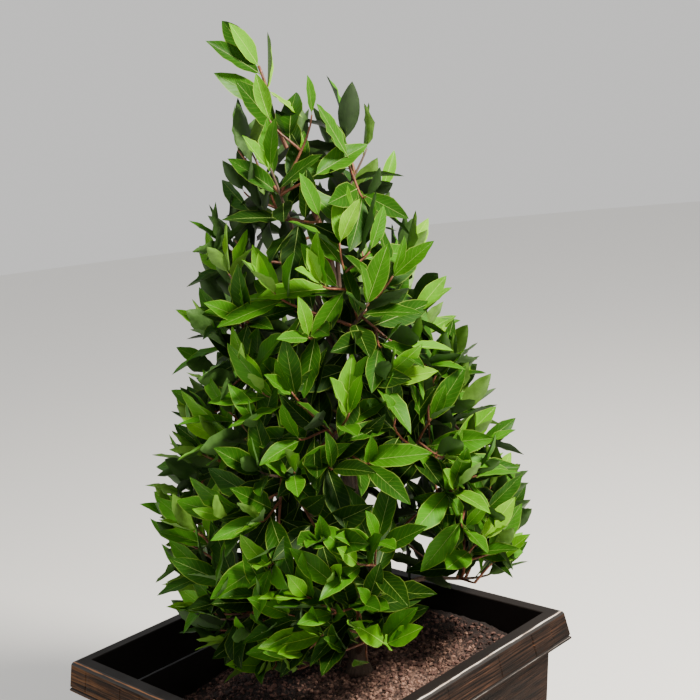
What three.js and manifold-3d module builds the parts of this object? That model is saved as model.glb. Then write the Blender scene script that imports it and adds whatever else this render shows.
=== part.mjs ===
// A bay tree clipped to a pyramid, planted in a square moulded planter.
// Millimetres, +Z up. The origin is the middle of the planter's flat underside,
// X runs along its front side and Y towards its back.
import * as THREE from 'three';
import { mergeVertices } from 'three/addons/utils/BufferGeometryUtils.js';
import Module from 'manifold-3d';

const { clamp, degToRad, lerp, seededRandom, smoothstep } = THREE.MathUtils;
const UP = new THREE.Vector3(0, 0, 1);

// Clearance between pieces that meet, and the smallest detail that joined pieces keep
const GAP = 0.3;
const SMALLEST_DETAIL = 0.12;

// Planter, from its rim down. Widths are across the whole square.
const PLANTER_HEIGHT = 300;
const RIM_WIDTH = 500;
const RIM_FLAT = 21;
const RIM_ROUNDING = 5;
const FLARE_BELOW_ROUNDING = 0.5;
const BAND_HEIGHT = 38;
const COLLAR_HEIGHT = 46;
const COLLAR_FLARE = 5;
const GROOVE_DEPTH = 1.5;
const BEAD_HEIGHT = 5;
const BEAD_DEPTH = 1;
const BODY_WIDTH = 466;
const BODY_TAPER = Math.tan(degToRad(4.4));
const WALL = 8;
const LEDGE_DEPTH = 61;
const LEDGE_WIDTH = 3;
const WALL_DRAFT = 1;

// Compost: its level where the trunk stands, its slope, and how far it drops at the walls.
// It is heaped up against the +X wall.
const SOIL_LEVEL = 240;
const SOIL_SLOPE = 0.11;
const SOIL_LEFT_DROP = 6;
const SOIL_FRONT_DROP = 14;
const SOIL_BACK_DROP = 46;
const SOIL_UNDULATION = 3;
const SOIL_FLAT_RADIUS = 75;
const SOIL_GRID = 8;

// The trunk's foot on the compost. Plant heights below are above this point.
const FOOT = new THREE.Vector3(38, -39, SOIL_LEVEL);

// Trunk: it leans towards LEAN low down and back the other way at the leader
const LEAN = new THREE.Vector3(Math.cos(degToRad(-45.6)), Math.sin(degToRad(-45.6)), 0);
const TRUNK_LEAN_BY_HEIGHT = [[0, 0], [8, 190], [24, 430], [22, 600], [-6, 710], [-24, 765]];
const TRUNK_RADIUS = 12;
const TRUNK_TIP_RADIUS = 2.6;
const TRUNK_SIDES = 8;
const TRUNK_STEPS = 14;
const BOUGH_SIDES = 6;
const BOUGH_STEPS = 3;
const ROOT_FLARE = 8;
const ROOT_FLARE_HEIGHT = 45;

// Crown: its radius out to the leaf tips, by height
const CROWN_OUTLINE = [
  [130, 25], [225, 75], [258, 140], [274, 230], [270, 325], [232, 400],
  [208, 480], [180, 560], [160, 660], [132, 740], [100, 845], [88, 856],
];
const CORE_DEPTH = 100;
const CORE_BEYOND_ENTRY = 22;
const SHOOT_DEPTH = 66;
// The crown's lower edge above the compost. It rises between two reaches towards the lean,
// where the crown is open, and steadily towards the front.
const SKIRT_HEIGHT = 15;
const SKIRT_RISE = 105;
const SKIRT_REACHES = [30, 200];
const SKIRT_FRONT_RISE = 0.45;
const FRONT = new THREE.Vector3().crossVectors(LEAN, UP);

// Rings of foliage. Every mass hangs on a bough that leaves the trunk at one height,
// and enters its mass at a radius and height.
const RINGS = [
  { name: 'low', masses: 5, turn: 20, radius: 160, height: 150, stagger: 12,
    leaves_trunk: 38, enters_radius: 74, enters_height: 108, bough: [7, 4.2], shoots: 8 },
  { name: 'middle', masses: 4, turn: 20, radius: 128, height: 335, stagger: 16,
    leaves_trunk: 175, enters_radius: 62, enters_height: 280, bough: [6.2, 3.8], shoots: 7 },
  { name: 'upper', masses: 3, turn: 14, radius: 88, height: 515, stagger: 16,
    leaves_trunk: 345, enters_radius: 44, enters_height: 450, bough: [5.2, 3.2], shoots: 6 },
  { name: 'top', masses: 3, turn: -45.6, radius: 60, height: 690, stagger: 25,
    leaves_trunk: 470, enters_radius: 34, enters_height: 600, bough: [4.4, 2.8], shoots: 7 },
];
const LEADER_LEAN = -62;
const LEADER_HEIGHT = 864;
const LEADER_TOP = 945;
const LEADER_LEAVES = 8;

// Shoots and leaves
const TWIG_RADIUS = 2.1;
const TWIG_TIP_RADIUS = 1.5;
const LEAVES_PER_SHOOT = 6;
const NARROWEST_SPREAD = 24;
const WIDEST_SPREAD = 68;
const LEAF_LENGTH = 88;
const LEAF_WIDTH = 36;
const LEAF_THICKNESS = 1.8;
const LEAF_FOLD = 5;
const LEAF_DROOP = 5;
const LEAF_ROOT = 6;
const LEAF_WIDEST_AT = 0.46;
const LEAF_SPACING = 11;
// A leaf's tries: its share of the spread, its swing round the shoot and its share of the length
const LEAF_TRIES = [
  [1, 0, 1], [1, 35, 1], [1, -35, 1], [0.7, 0, 1], [0.7, 50, 1], [0.7, -50, 1],
  [0.45, 90, 0.85], [0.4, 0, 0.8], [1, 0, 0.65], [0.8, 120, 0.65],
];
const FIRST_LEAF = 1.5;
const GOLDEN_ANGLE = degToRad(137.5);
const SHOOT_CHOICES = 1500;

// Clearances inside the crown: to a mass's own space, to the planter and to the limbs
const SPACE_MARGIN = 0.6;
const RIM_MARGIN = 4;
const MOUTH_MARGIN = 8;
const SOIL_MARGIN = 14;
const LIMB_MARGIN = 1;
const CORE_MARGIN = 1.5;
const SHOOT_MARGIN = 10;

const BARK = new THREE.MeshStandardMaterial({ color: 0x6b5240, roughness: 0.85, metalness: 0 });
const LEAF_GREEN = new THREE.MeshStandardMaterial({ color: 0x3f7d22, roughness: 0.42, metalness: 0 });
const YOUNG_GREEN = new THREE.MeshStandardMaterial({ color: 0x6fa832, roughness: 0.4, metalness: 0 });
const CHARCOAL = new THREE.MeshStandardMaterial({ color: 0x2a2421, roughness: 0.6, metalness: 0 });
const COMPOST_BROWN = new THREE.MeshStandardMaterial({ color: 0x3d2820, roughness: 0.95, metalness: 0 });

const wasm = await Module();
wasm.setup();
seededRandom(102);
const vary = (middle, spread) => middle + spread * (2 * seededRandom() - 1);

// A closed three.js geometry as a solid that can be joined
function solidOf(geometry) {
  const bare = geometry.clone();
  bare.deleteAttribute('normal');
  bare.deleteAttribute('uv');
  const merged = mergeVertices(bare, 1e-4);
  return new wasm.Manifold(new wasm.Mesh({
    numProp: 3,
    vertProperties: merged.attributes.position.array,
    triVerts: Uint32Array.from(merged.index.array),
  }));
}

function geometryOf(solid) {
  const mesh = solid.getMesh();
  const geometry = new THREE.BufferGeometry();
  geometry.setAttribute('position', new THREE.BufferAttribute(mesh.vertProperties, mesh.numProp));
  geometry.setIndex(new THREE.BufferAttribute(mesh.triVerts, 1));
  geometry.computeVertexNormals();
  return geometry;
}

// True where two edges of a solid fall on each other, as on a part that shrank to no thickness
function pinched(solid) {
  const { vertProperties, triVerts } = solid.getMesh();
  const places = new Map();
  const corner = (vertex) => {
    const place = Array.from(vertProperties.slice(3 * vertex, 3 * vertex + 3), (v) => v.toFixed(3)).join();
    if (!places.has(place)) places.set(place, places.size);
    return places.get(place);
  };
  const corners = Array.from(triVerts, corner);
  const seen = new Set();
  for (let i = 0; i < corners.length; i += 3) {
    const [a, b, c] = corners.slice(i, i + 3);
    if (a === b || b === c || c === a) continue;
    for (const edge of [`${a} ${b}`, `${b} ${c}`, `${c} ${a}`]) {
      if (seen.has(edge)) return true;
      seen.add(edge);
    }
  }
  return false;
}

// The largest body of a joined solid, so that loose scraps and sealed hollows are dropped
function largestBody(whole) {
  const bodies = whole.simplify(SMALLEST_DETAIL).decompose();
  return bodies.reduce((best, body) => (body.volume() > best.volume() ? body : best));
}

// Solids joined one by one as one body. One that would pinch it is left out.
function joined(solids) {
  let [whole] = solids;
  let body = largestBody(whole);
  for (const solid of solids.slice(1)) {
    const more = whole.add(solid);
    const fuller = largestBody(more);
    if (pinched(fuller)) continue;
    whole = more;
    body = fuller;
  }
  return body;
}

function named(name, geometry, material) {
  const mesh = new THREE.Mesh(geometry, material);
  mesh.name = name;
  return mesh;
}

// Planter

const innerHalf = RIM_WIDTH / 2 - RIM_FLAT;
const ledgeHalf = innerHalf - WALL_DRAFT;
const ledgeHeight = PLANTER_HEIGHT - LEDGE_DEPTH;
const collarFoot = PLANTER_HEIGHT - COLLAR_HEIGHT;

// Half the width of the space inside the walls, at a height below the ledge
function hollowHalf(height) {
  return ledgeHalf - LEDGE_WIDTH - (ledgeHeight - height) * BODY_TAPER;
}

// A square vessel turned from its profile with four sides
function makePlanter() {
  const rimHalf = RIM_WIDTH / 2;
  const flaredHalf = rimHalf + COLLAR_FLARE;
  const bodyHalf = BODY_WIDTH / 2;
  const bandFoot = PLANTER_HEIGHT - BAND_HEIGHT;
  const profile = [
    [0, 0],
    [bodyHalf - collarFoot * BODY_TAPER, 0],
    [bodyHalf, collarFoot],
    [flaredHalf - 3 * BEAD_DEPTH, collarFoot],
    [flaredHalf + BEAD_DEPTH, collarFoot + 2 * BEAD_DEPTH],
    [flaredHalf + BEAD_DEPTH, collarFoot + BEAD_HEIGHT],
    [flaredHalf - GROOVE_DEPTH, collarFoot + BEAD_HEIGHT + GROOVE_DEPTH],
    [flaredHalf, bandFoot],
    [rimHalf + FLARE_BELOW_ROUNDING, PLANTER_HEIGHT - RIM_ROUNDING],
    [rimHalf - 0.3 * RIM_ROUNDING, PLANTER_HEIGHT - 0.3 * RIM_ROUNDING],
    [rimHalf - RIM_ROUNDING, PLANTER_HEIGHT],
    [innerHalf, PLANTER_HEIGHT],
    [ledgeHalf, ledgeHeight],
    [ledgeHalf - LEDGE_WIDTH, ledgeHeight],
    [hollowHalf(WALL), WALL],
    [0, WALL],
  ].map(([half, height]) => new THREE.Vector2(half * Math.SQRT2, height));
  const vessel = new THREE.LatheGeometry(profile, 4, Math.PI / 4);
  vessel.rotateX(Math.PI / 2);
  return named('planter', geometryOf(solidOf(vessel)), CHARCOAL);
}

function soilHeight(x, y) {
  const drop = SOIL_LEFT_DROP * smoothstep(-x / innerHalf, 0.4, 1)
    + SOIL_FRONT_DROP * smoothstep(-y / innerHalf, 0.4, 1)
    + SOIL_BACK_DROP * smoothstep(y / innerHalf, 0.4, 1);
  const mound = SOIL_LEVEL + SOIL_SLOPE * (x - FOOT.x) - drop + vary(0, SOIL_UNDULATION);
  const fromFoot = Math.hypot(x - FOOT.x, y - FOOT.y);
  return lerp(SOIL_LEVEL, mound, smoothstep(fromFoot, SOIL_FLAT_RADIUS, 2 * SOIL_FLAT_RADIUS));
}

function makeCompost() {
  const block = new THREE.BoxGeometry(2, 2, 2, SOIL_GRID, SOIL_GRID, 1);
  block.deleteAttribute('normal');
  block.deleteAttribute('uv');
  const soil = mergeVertices(block);
  const spots = soil.attributes.position;
  const spot = new THREE.Vector3();
  const wide = hollowHalf(SOIL_LEVEL);
  for (let i = 0; i < spots.count; i++) {
    spot.fromBufferAttribute(spots, i);
    const height = spot.z > 0 ? soilHeight(spot.x * wide, spot.y * wide) : WALL + GAP;
    const half = hollowHalf(height) - GAP;
    spots.setXYZ(i, spot.x * half, spot.y * half, height);
  }
  return named('compost', geometryOf(solidOf(soil)), COMPOST_BROWN);
}

// Limbs

// A tapering limb along a path, with its ends cut square
function limbGeometry(path, radiusAt, sides, steps) {
  const limb = new THREE.CylinderGeometry(1, 1, 1, sides, steps);
  const frames = path.computeFrenetFrames(steps, false);
  const spots = limb.attributes.position;
  const centres = path.getSpacedPoints(steps);
  const spot = new THREE.Vector3();
  for (let i = 0; i < spots.count; i++) {
    const step = Math.round((spots.getY(i) + 0.5) * steps);
    const radius = radiusAt(step / steps);
    spot.copy(centres[step]);
    spot.addScaledVector(frames.normals[step], radius * spots.getX(i));
    spot.addScaledVector(frames.binormals[step], -radius * spots.getZ(i));
    spots.setXYZ(i, spot.x, spot.y, spot.z);
  }
  return limb;
}

// A limb's place, kept so that twigs and leaves of other masses can stay clear of it
const limbPlaces = [];
function keepPlace(path, radiusAt, steps, owner) {
  const spots = path.getSpacedPoints(steps);
  limbPlaces.push({ owner, spots, radii: spots.map((_, i) => radiusAt(i / steps)) });
}

const trunkPath = new THREE.CatmullRomCurve3(
  TRUNK_LEAN_BY_HEIGHT.map(([lean, height]) => LEAN.clone().multiplyScalar(lean).setZ(height)),
);
const trunkLength = trunkPath.getLength();

function trunkRadius(t) {
  const flare = ROOT_FLARE * Math.max(0, 1 - (t * trunkLength) / ROOT_FLARE_HEIGHT) ** 2;
  return lerp(TRUNK_RADIUS, TRUNK_TIP_RADIUS, t) + flare;
}

// The trunk's foot is cut level, just clear of the compost
function makeTrunk() {
  const trunk = limbGeometry(trunkPath, trunkRadius, TRUNK_SIDES, TRUNK_STEPS);
  const spots = trunk.attributes.position;
  const firstRing = trunkLength / TRUNK_STEPS;
  for (let i = 0; i < spots.count; i++) {
    if (spots.getZ(i) < firstRing / 2) spots.setZ(i, GAP);
  }
  keepPlace(trunkPath, trunkRadius, 36);
  return named('trunk', geometryOf(solidOf(trunk)), BARK);
}

// The point on the trunk's middle line at a height
function trunkAt(height) {
  return trunkPath.getPoints(400).reduce((best, spot) =>
    (Math.abs(spot.z - height) < Math.abs(best.z - height) ? spot : best));
}

function makeBough(mass) {
  const start = trunkAt(mass.leavesTrunk);
  const end = mass.entry;
  const bend = start.clone().lerp(end, 0.55);
  bend.z = lerp(start.z, end.z, 0.3);
  const path = new THREE.QuadraticBezierCurve3(start, bend, end);
  const [thick, thin] = mass.bough;
  const radiusAt = (t) => lerp(thick, thin, t);
  const whole = solidOf(limbGeometry(path, radiusAt, BOUGH_SIDES, BOUGH_STEPS));
  const swollenRadius = (t) => trunkRadius(t) + GAP;
  const swollenTrunk = solidOf(limbGeometry(trunkPath, swollenRadius, TRUNK_SIDES, TRUNK_STEPS));
  keepPlace(path, radiusAt, 8);
  mass.heading = path.getTangent(1);
  return named(`bough_${mass.name}`, geometryOf(joined([whole.subtract(swollenTrunk)])), BARK);
}

// Masses of foliage

const leaderTip = LEAN.clone().multiplyScalar(LEADER_LEAN).setZ(LEADER_HEIGHT);

function outlineRadius(height) {
  if (height <= CROWN_OUTLINE[0][1]) return CROWN_OUTLINE[0][0];
  for (let i = 1; i < CROWN_OUTLINE.length; i++) {
    const [radius, above] = CROWN_OUTLINE[i];
    const [lastRadius, below] = CROWN_OUTLINE[i - 1];
    if (height < above) return lerp(lastRadius, radius, (height - below) / (above - below));
  }
  return 0;
}

function skirtHeight(spot) {
  const opening = SKIRT_RISE * smoothstep(spot.dot(LEAN), ...SKIRT_REACHES);
  return SKIRT_HEIGHT + opening + SKIRT_FRONT_RISE * Math.max(0, spot.dot(FRONT));
}

function aroundAxis(radius, angle, height) {
  return new THREE.Vector3(radius * Math.cos(angle), radius * Math.sin(angle), height);
}

function placeMasses() {
  const masses = [];
  for (const ring of RINGS) {
    for (let i = 0; i < ring.masses; i++) {
      const angle = degToRad(ring.turn) + (i * 2 * Math.PI) / ring.masses;
      const lift = i % 2 ? -ring.stagger : ring.stagger;
      masses.push({
        name: `${ring.name}_${i + 1}`,
        site: aroundAxis(ring.radius, angle, ring.height + lift),
        entry: aroundAxis(ring.enters_radius, angle, ring.enters_height + lift),
        leavesTrunk: ring.leaves_trunk + lift / 2,
        bough: ring.bough,
        shoots: ring.shoots,
      });
    }
  }
  masses.push({
    name: 'leader',
    isLeader: true,
    site: leaderTip.clone(),
    entry: trunkPath.getPoint(1),
    heading: trunkPath.getTangent(1),
    bough: [TRUNK_TIP_RADIUS, TRUNK_TIP_RADIUS],
    shoots: 1,
  });
  // Each mass has the space that is nearer to its own site than to any other
  for (const mass of masses) {
    mass.walls = masses.filter((other) => other !== mass).map((other) => {
      const outwards = other.site.clone().sub(mass.site).normalize();
      const middle = other.site.clone().lerp(mass.site, 0.5);
      return new THREE.Plane().setFromNormalAndCoplanarPoint(outwards, middle);
    });
  }
  return masses;
}

function insideSpace(mass, spot, margin) {
  return mass.walls.every((wall) => wall.distanceToPoint(spot) < -margin);
}

function insideOutline(mass, spot) {
  if (mass.isLeader) return spot.z < LEADER_TOP;
  return Math.hypot(spot.x, spot.y) < outlineRadius(spot.z) && spot.z > skirtHeight(spot);
}

// Above the rim, or inside the planter's mouth and above the compost
function clearOfPlanter(spots) {
  const rim = PLANTER_HEIGHT - SOIL_LEVEL;
  const mouth = innerHalf - MOUTH_MARGIN;
  const aboveRim = spots.every((spot) => spot.z > rim + RIM_MARGIN);
  const insideMouth = spots.every((spot) => spot.z > SOIL_MARGIN
    && Math.abs(spot.x + FOOT.x) < mouth && Math.abs(spot.y + FOOT.y) < mouth);
  return aboveRim || insideMouth;
}

function clearOfLimbs(mass, spots, margin) {
  const stretch = new THREE.Line3();
  const nearest = new THREE.Vector3();
  const others = limbPlaces.filter((limb) => limb.owner !== mass);
  return others.every((limb) => limb.spots.slice(1).every((end, i) => {
    stretch.set(limb.spots[i], end);
    return spots.every((spot) => {
      stretch.closestPointToPoint(spot, true, nearest);
      return nearest.distanceTo(spot) > limb.radii[i] + margin;
    });
  }));
}

// Points along the lines between corners, for the clearance tests
function between(corners, pairs, count) {
  const spots = [];
  for (const [from, to] of pairs) {
    for (let i = 1; i <= count; i++) {
      spots.push(corners[from].clone().lerp(corners[to], i / (count + 1)));
    }
  }
  return spots;
}

// A folded pointed blade. Its root runs down inside the shoot, and its upper side looks along face.
function leafGeometry(base, along, face, length, shoot) {
  const blade = new THREE.OctahedronGeometry(1);
  const across = new THREE.Vector3().crossVectors(face, along);
  const root = base.clone().addScaledVector(shoot, -LEAF_ROOT);
  const spots = blade.attributes.position;
  const width = (LEAF_WIDTH * length) / LEAF_LENGTH;
  for (let i = 0; i < spots.count; i++) {
    const [x, y, z] = [spots.getX(i), spots.getY(i), spots.getZ(i)];
    const reach = length * (x > 0.5 ? 1 : LEAF_WIDEST_AT);
    const lift = (z * LEAF_THICKNESS) / 2 + Math.abs(y) * LEAF_FOLD - (x > 0.5 ? LEAF_DROOP : 0);
    const spot = base.clone().addScaledVector(along, reach);
    spot.addScaledVector(across, (y * width) / 2).addScaledVector(face, lift);
    if (x < -0.5) spot.copy(root);
    spots.setXYZ(i, spot.x, spot.y, spot.z);
  }
  return blade;
}

// The blade's root, tip and two sides, and points along its edges and rib
function leafSpots(blade) {
  const merged = solidOf(blade).getMesh().vertProperties;
  const corners = [];
  for (let i = 0; i < merged.length; i += 3) {
    corners.push(new THREE.Vector3(merged[i], merged[i + 1], merged[i + 2]));
  }
  const pairs = [];
  for (let from = 0; from < corners.length; from++) {
    for (let to = from + 1; to < corners.length; to++) pairs.push([from, to]);
  }
  return { corners, spots: [...corners, ...between(corners, pairs, 4)] };
}

function leafFits(mass, blade) {
  const { corners, spots } = leafSpots(blade);
  return corners.every((spot) => insideSpace(mass, spot, SPACE_MARGIN) && insideOutline(mass, spot))
    && clearOfPlanter(corners) && clearOfLimbs(mass, spots, LIMB_MARGIN);
}

function crosses(blade, other) {
  const [a, b] = [blade.boundingBox(), other.boundingBox()];
  const apart = [0, 1, 2].some((axis) => a.min[axis] > b.max[axis] || b.min[axis] > a.max[axis]);
  return !apart && !blade.intersect(other).isEmpty();
}

// Leaves along a shoot's end. One that doesn't fit or crosses another is tried elsewhere
// round the shoot, then skipped.
function growLeaves(mass, shoot, count, blades) {
  const length = shoot.getLength();
  const start = seededRandom() * 2 * Math.PI;
  for (let i = 0; i < count; i++) {
    const place = Math.max(0.05, 1 - (FIRST_LEAF + i * LEAF_SPACING) / length);
    const base = shoot.getPointAt(place);
    const heading = shoot.getTangentAt(place);
    const outwards = new THREE.Vector3().crossVectors(heading, Math.abs(heading.z) > 0.9 ? LEAN : UP);
    outwards.normalize().applyAxisAngle(heading, start + i * GOLDEN_ANGLE);
    const widest = vary(lerp(NARROWEST_SPREAD, WIDEST_SPREAD, i / (count - 1)), 6);
    const size = LEAF_LENGTH * vary(0.97, 0.08);
    for (const [share, swing, part] of LEAF_TRIES) {
      const spread = degToRad(widest * share);
      const along = heading.clone().multiplyScalar(Math.cos(spread));
      const swung = outwards.clone().applyAxisAngle(heading, degToRad(swing));
      along.addScaledVector(swung, Math.sin(spread)).normalize();
      const face = heading.clone().addScaledVector(along, -heading.dot(along)).normalize();
      const blade = leafGeometry(base, along, face, part * size, heading);
      const solid = leafFits(mass, blade) ? solidOf(blade) : null;
      if (solid && !blades.some((other) => crosses(solid, other))) {
        blades.push(solid);
        break;
      }
    }
  }
}

// Even choices of shoot tips over the crown, a leaf's reach inside its outline
function shootChoices() {
  const choices = [];
  const widest = Math.max(...CROWN_OUTLINE.map(([radius]) => radius));
  const top = CROWN_OUTLINE.at(-1)[1];
  for (let i = 0; i < SHOOT_CHOICES; i++) {
    const height = lerp(0, top, (i * 0.7549) % 1);
    const radius = outlineRadius(height);
    const spot = aroundAxis(radius, i * GOLDEN_ANGLE, height);
    const isLeafy = seededRandom() < radius / widest && height > skirtHeight(spot);
    if (isLeafy) choices.push(spot.addScaledVector(shootHeading(spot), -SHOOT_DEPTH));
  }
  return choices;
}

// As many of the choices as are wanted, each as far as it can be from those taken before
function spreadOut(choices, count, first) {
  const taken = [first];
  while (taken.length < Math.min(count, choices.length)) {
    const apart = (spot) => Math.min(...taken.map((other) => other.distanceTo(spot)));
    taken.push(choices.reduce((best, spot) => (apart(spot) > apart(best) ? spot : best)));
  }
  return taken;
}

// Shoots point outwards low in the crown and more upwards near its top
function shootHeading(tip) {
  const outwards = new THREE.Vector3(tip.x, tip.y, 0);
  if (outwards.length() < 1) outwards.copy(LEAN);
  const rise = degToRad(lerp(18, 66, clamp(tip.z / 800, 0, 1)));
  return outwards.normalize().multiplyScalar(Math.cos(rise)).setZ(Math.sin(rise));
}

// A mass's stem leaves its bough in one direction and ends in another
function stemPath(start, leaving, tip, heading) {
  const far = start.distanceTo(tip);
  const first = start.clone().addScaledVector(leaving, 0.3 * far);
  const second = tip.clone().addScaledVector(heading, -0.35 * far);
  return new THREE.CubicBezierCurve3(start, first, second, tip);
}

function twigFits(mass, path) {
  const spots = path.getSpacedPoints(12).slice(2);
  return spots.every((spot) => insideSpace(mass, spot, TWIG_RADIUS + SPACE_MARGIN))
    && clearOfPlanter(spots) && clearOfLimbs(mass, spots, TWIG_RADIUS + LIMB_MARGIN);
}

// A dense mass's smaller core: it lies deep inside the outline, outside the bough's entry
function coreSolid(mass) {
  const outwards = mass.site.clone().setZ(0).normalize();
  const entryDistance = mass.entry.dot(outwards);
  const lowest = PLANTER_HEIGHT - SOIL_LEVEL + 3 * RIM_MARGIN;
  const allowed = (spot) => insideSpace(mass, spot, CORE_MARGIN)
    && spot.dot(outwards) > entryDistance + RIM_MARGIN && spot.z > lowest
    && Math.hypot(spot.x, spot.y) < outlineRadius(spot.z) - CORE_DEPTH;
  const centre = outwards.clone().multiplyScalar(entryDistance + CORE_BEYOND_ENTRY).setZ(mass.site.z);
  if (!allowed(centre)) return [];
  const core = new THREE.IcosahedronGeometry(1);
  const spots = core.attributes.position;
  const reachByRay = new Map();
  const ray = new THREE.Vector3();
  for (let i = 0; i < spots.count; i++) {
    ray.fromBufferAttribute(spots, i).normalize();
    const key = ray.toArray().map((v) => Math.round(1000 * v)).join();
    if (!reachByRay.has(key)) {
      let reach = 2;
      while (reach < 200 && allowed(centre.clone().addScaledVector(ray, reach + 2))) reach += 2;
      reachByRay.set(key, reach * vary(0.9, 0.1));
    }
    const spot = centre.clone().addScaledVector(ray, reachByRay.get(key));
    spots.setXYZ(i, spot.x, spot.y, spot.z);
  }
  return [solidOf(core)];
}

// A mass's stem goes on from its bough, or from the trunk, to its first shoot tip
function placeStem(mass, choices) {
  mass.choices = choices.filter((spot) => insideSpace(mass, spot, SHOOT_MARGIN));
  const nearer = (best, spot) => (spot.distanceTo(mass.site) < best.distanceTo(mass.site) ? spot : best);
  mass.first = mass.isLeader ? leaderTip : mass.choices.reduce(nearer);
  const start = mass.entry.clone().addScaledVector(mass.heading, GAP);
  const ending = mass.isLeader ? mass.heading : shootHeading(mass.first);
  mass.stem = stemPath(start, mass.heading, mass.first, ending);
  keepPlace(mass.stem, () => mass.bough[1], 12, mass);
}

function growMass(mass) {
  const { stem, first } = mass;
  const stemRadius = (t) => lerp(mass.bough[1], TWIG_TIP_RADIUS, t);
  const twigRadius = (t) => lerp(TWIG_RADIUS, TWIG_TIP_RADIUS, t);
  const shoots = [{ path: stem, solid: solidOf(limbGeometry(stem, stemRadius, 4, 3)) }];
  const stemSpots = stem.getSpacedPoints(20);
  for (const tip of spreadOut(mass.choices, mass.shoots, first).slice(1)) {
    const nearest = stemSpots.reduce((best, spot, i) =>
      (spot.distanceTo(tip) < stemSpots[best].distanceTo(tip) ? i : best), 0);
    const place = clamp(nearest / 20 - 0.25 + vary(0, 0.04), 0.1, 0.75);
    const path = new THREE.LineCurve3(stem.getPointAt(place), tip);
    if (twigFits(mass, path)) {
      shoots.push({ path, solid: solidOf(limbGeometry(path, twigRadius, 3, 1)) });
    }
  }
  const core = mass.isLeader ? [] : coreSolid(mass);
  const blades = [];
  for (const shoot of shoots) {
    const count = mass.isLeader ? LEADER_LEAVES : LEAVES_PER_SHOOT;
    growLeaves(mass, shoot.path, count, blades);
  }
  const material = mass.isLeader ? YOUNG_GREEN : LEAF_GREEN;
  const solids = [...shoots.map((shoot) => shoot.solid), ...core, ...blades];
  return named(`foliage_${mass.name}`, geometryOf(joined(solids)), material);
}

const plant = new THREE.Group();
plant.name = 'plant';
plant.position.copy(FOOT);
plant.add(makeTrunk());
const masses = placeMasses();
for (const mass of masses) {
  if (!mass.isLeader) plant.add(makeBough(mass));
}
const choices = shootChoices();
for (const mass of masses) placeStem(mass, choices);
for (const mass of masses) plant.add(growMass(mass));

const bayInPlanter = new THREE.Group();
bayInPlanter.name = 'bay_pyramid_in_planter';
bayInPlanter.add(makePlanter(), makeCompost(), plant);
export default bayInPlanter;
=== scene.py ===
"""Looks for a bay tree clipped to a pyramid and planted in a square moulded planter.

Metres, +Z up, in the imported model's frame: the origin is the middle of the planter's underside.
"""

import math
from collections import namedtuple
from types import SimpleNamespace

import bmesh
import bpy
import numpy as np
from bpy.props import FloatProperty, FloatVectorProperty, IntProperty, PointerProperty
from mathutils import Matrix, Vector, noise


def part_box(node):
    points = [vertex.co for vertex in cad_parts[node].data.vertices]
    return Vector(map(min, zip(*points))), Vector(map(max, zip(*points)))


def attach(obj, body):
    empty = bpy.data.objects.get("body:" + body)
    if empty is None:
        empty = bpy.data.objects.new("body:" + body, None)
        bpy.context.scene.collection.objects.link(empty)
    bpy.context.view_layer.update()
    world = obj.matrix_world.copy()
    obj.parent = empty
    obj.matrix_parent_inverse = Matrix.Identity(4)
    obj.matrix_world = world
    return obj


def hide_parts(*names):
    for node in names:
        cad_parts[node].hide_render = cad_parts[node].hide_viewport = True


bl_info = {
    "name": "Bay pyramid in a planter",
    "version": (1, 0, 0),
    "blender": (4, 5, 0),
    "location": "View3D > Sidebar > Bay Pyramid",
    "description": "Builds a clipped bay, its compost and its moulded planter",
    "category": "Add Mesh",
}

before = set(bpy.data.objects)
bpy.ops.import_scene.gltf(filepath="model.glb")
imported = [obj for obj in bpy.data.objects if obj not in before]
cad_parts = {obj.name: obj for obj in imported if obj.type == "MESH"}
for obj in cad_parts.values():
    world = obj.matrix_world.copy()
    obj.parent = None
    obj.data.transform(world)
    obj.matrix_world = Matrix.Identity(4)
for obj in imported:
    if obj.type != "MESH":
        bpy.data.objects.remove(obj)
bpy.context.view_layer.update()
NODES = sorted(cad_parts)

# Planter, from its rim down. Halves are from the middle to a side's face.
PLANTER_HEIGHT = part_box("planter")[1].z
RIM_HALF = 0.250
RIM_FLAT = 0.021
RIM_ROUNDING = 0.005
BAND_FOOT = PLANTER_HEIGHT - 0.038
COLLAR_FOOT = PLANTER_HEIGHT - 0.046
COLLAR_FLARE = 0.005
BEAD = 0.001
BEAD_HEIGHT = 0.005
GROOVE_DEPTH = 0.0015
BODY_HALF = 0.233
BODY_TAPER = math.tan(math.radians(4.4))
FOOT_ROUNDING = 0.004
WALL = 0.008
LEDGE_HEIGHT = PLANTER_HEIGHT - 0.061
LEDGE_WIDTH = 0.003
INNER_HALF = RIM_HALF - RIM_FLAT
LEDGE_HALF = INNER_HALF - 0.001

# The band's blocks and the seams between them, as shares of a side, and how far the map steps on from
# one side to the next. The map is past the front between the two values of PAST_FRONT. A HAIR is the
# slack where heights are compared.
BLOCK_ENDS = (0.075, 0.24, 0.33, 0.48, 0.69, 0.84, 0.925)
SEAM = 0.0016 / (2 * RIM_HALF)
SIDE_STEPS = 56
MAP_STEP = 0.6
PAST_FRONT = (0.50, 0.56)
HAIR = 1e-4

# The planter's finishes. The worn edge and the worn bead are copper wear, with a painted highlight on
# the front side.
RUBBED, WORN_AND_HIGHLIT_EDGE, PLAIN, WORN_AND_HIGHLIT_BEAD, LEDGE_SHEEN, WORN_SEAM = range(6)

# Compost
SOIL_LEVEL = 0.240
SOIL_SLOPE = 0.11
SOIL_LEFT_DROP = 0.006
SOIL_FRONT_DROP = 0.014
SOIL_BACK_DROP = 0.046
SOIL_FLAT_RADIUS = 0.075
SOIL_DEPTH = 0.07
SOIL_CELLS = 140
# Round this spot the compost is paler: partly dried compost, partly a painted pool of light
DRY_AND_LIT_SPOT = Vector((0.050, -0.100, 0))
DRY_AND_LIT_RADIUS = 0.12
PALE_EVERY = 90
STRAW_EVERY = 270
FULL_TURN = 6.28
CRUMB_SEED = 77
CRUMB_SHAPES = 6
GAP = 0.0003

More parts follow.
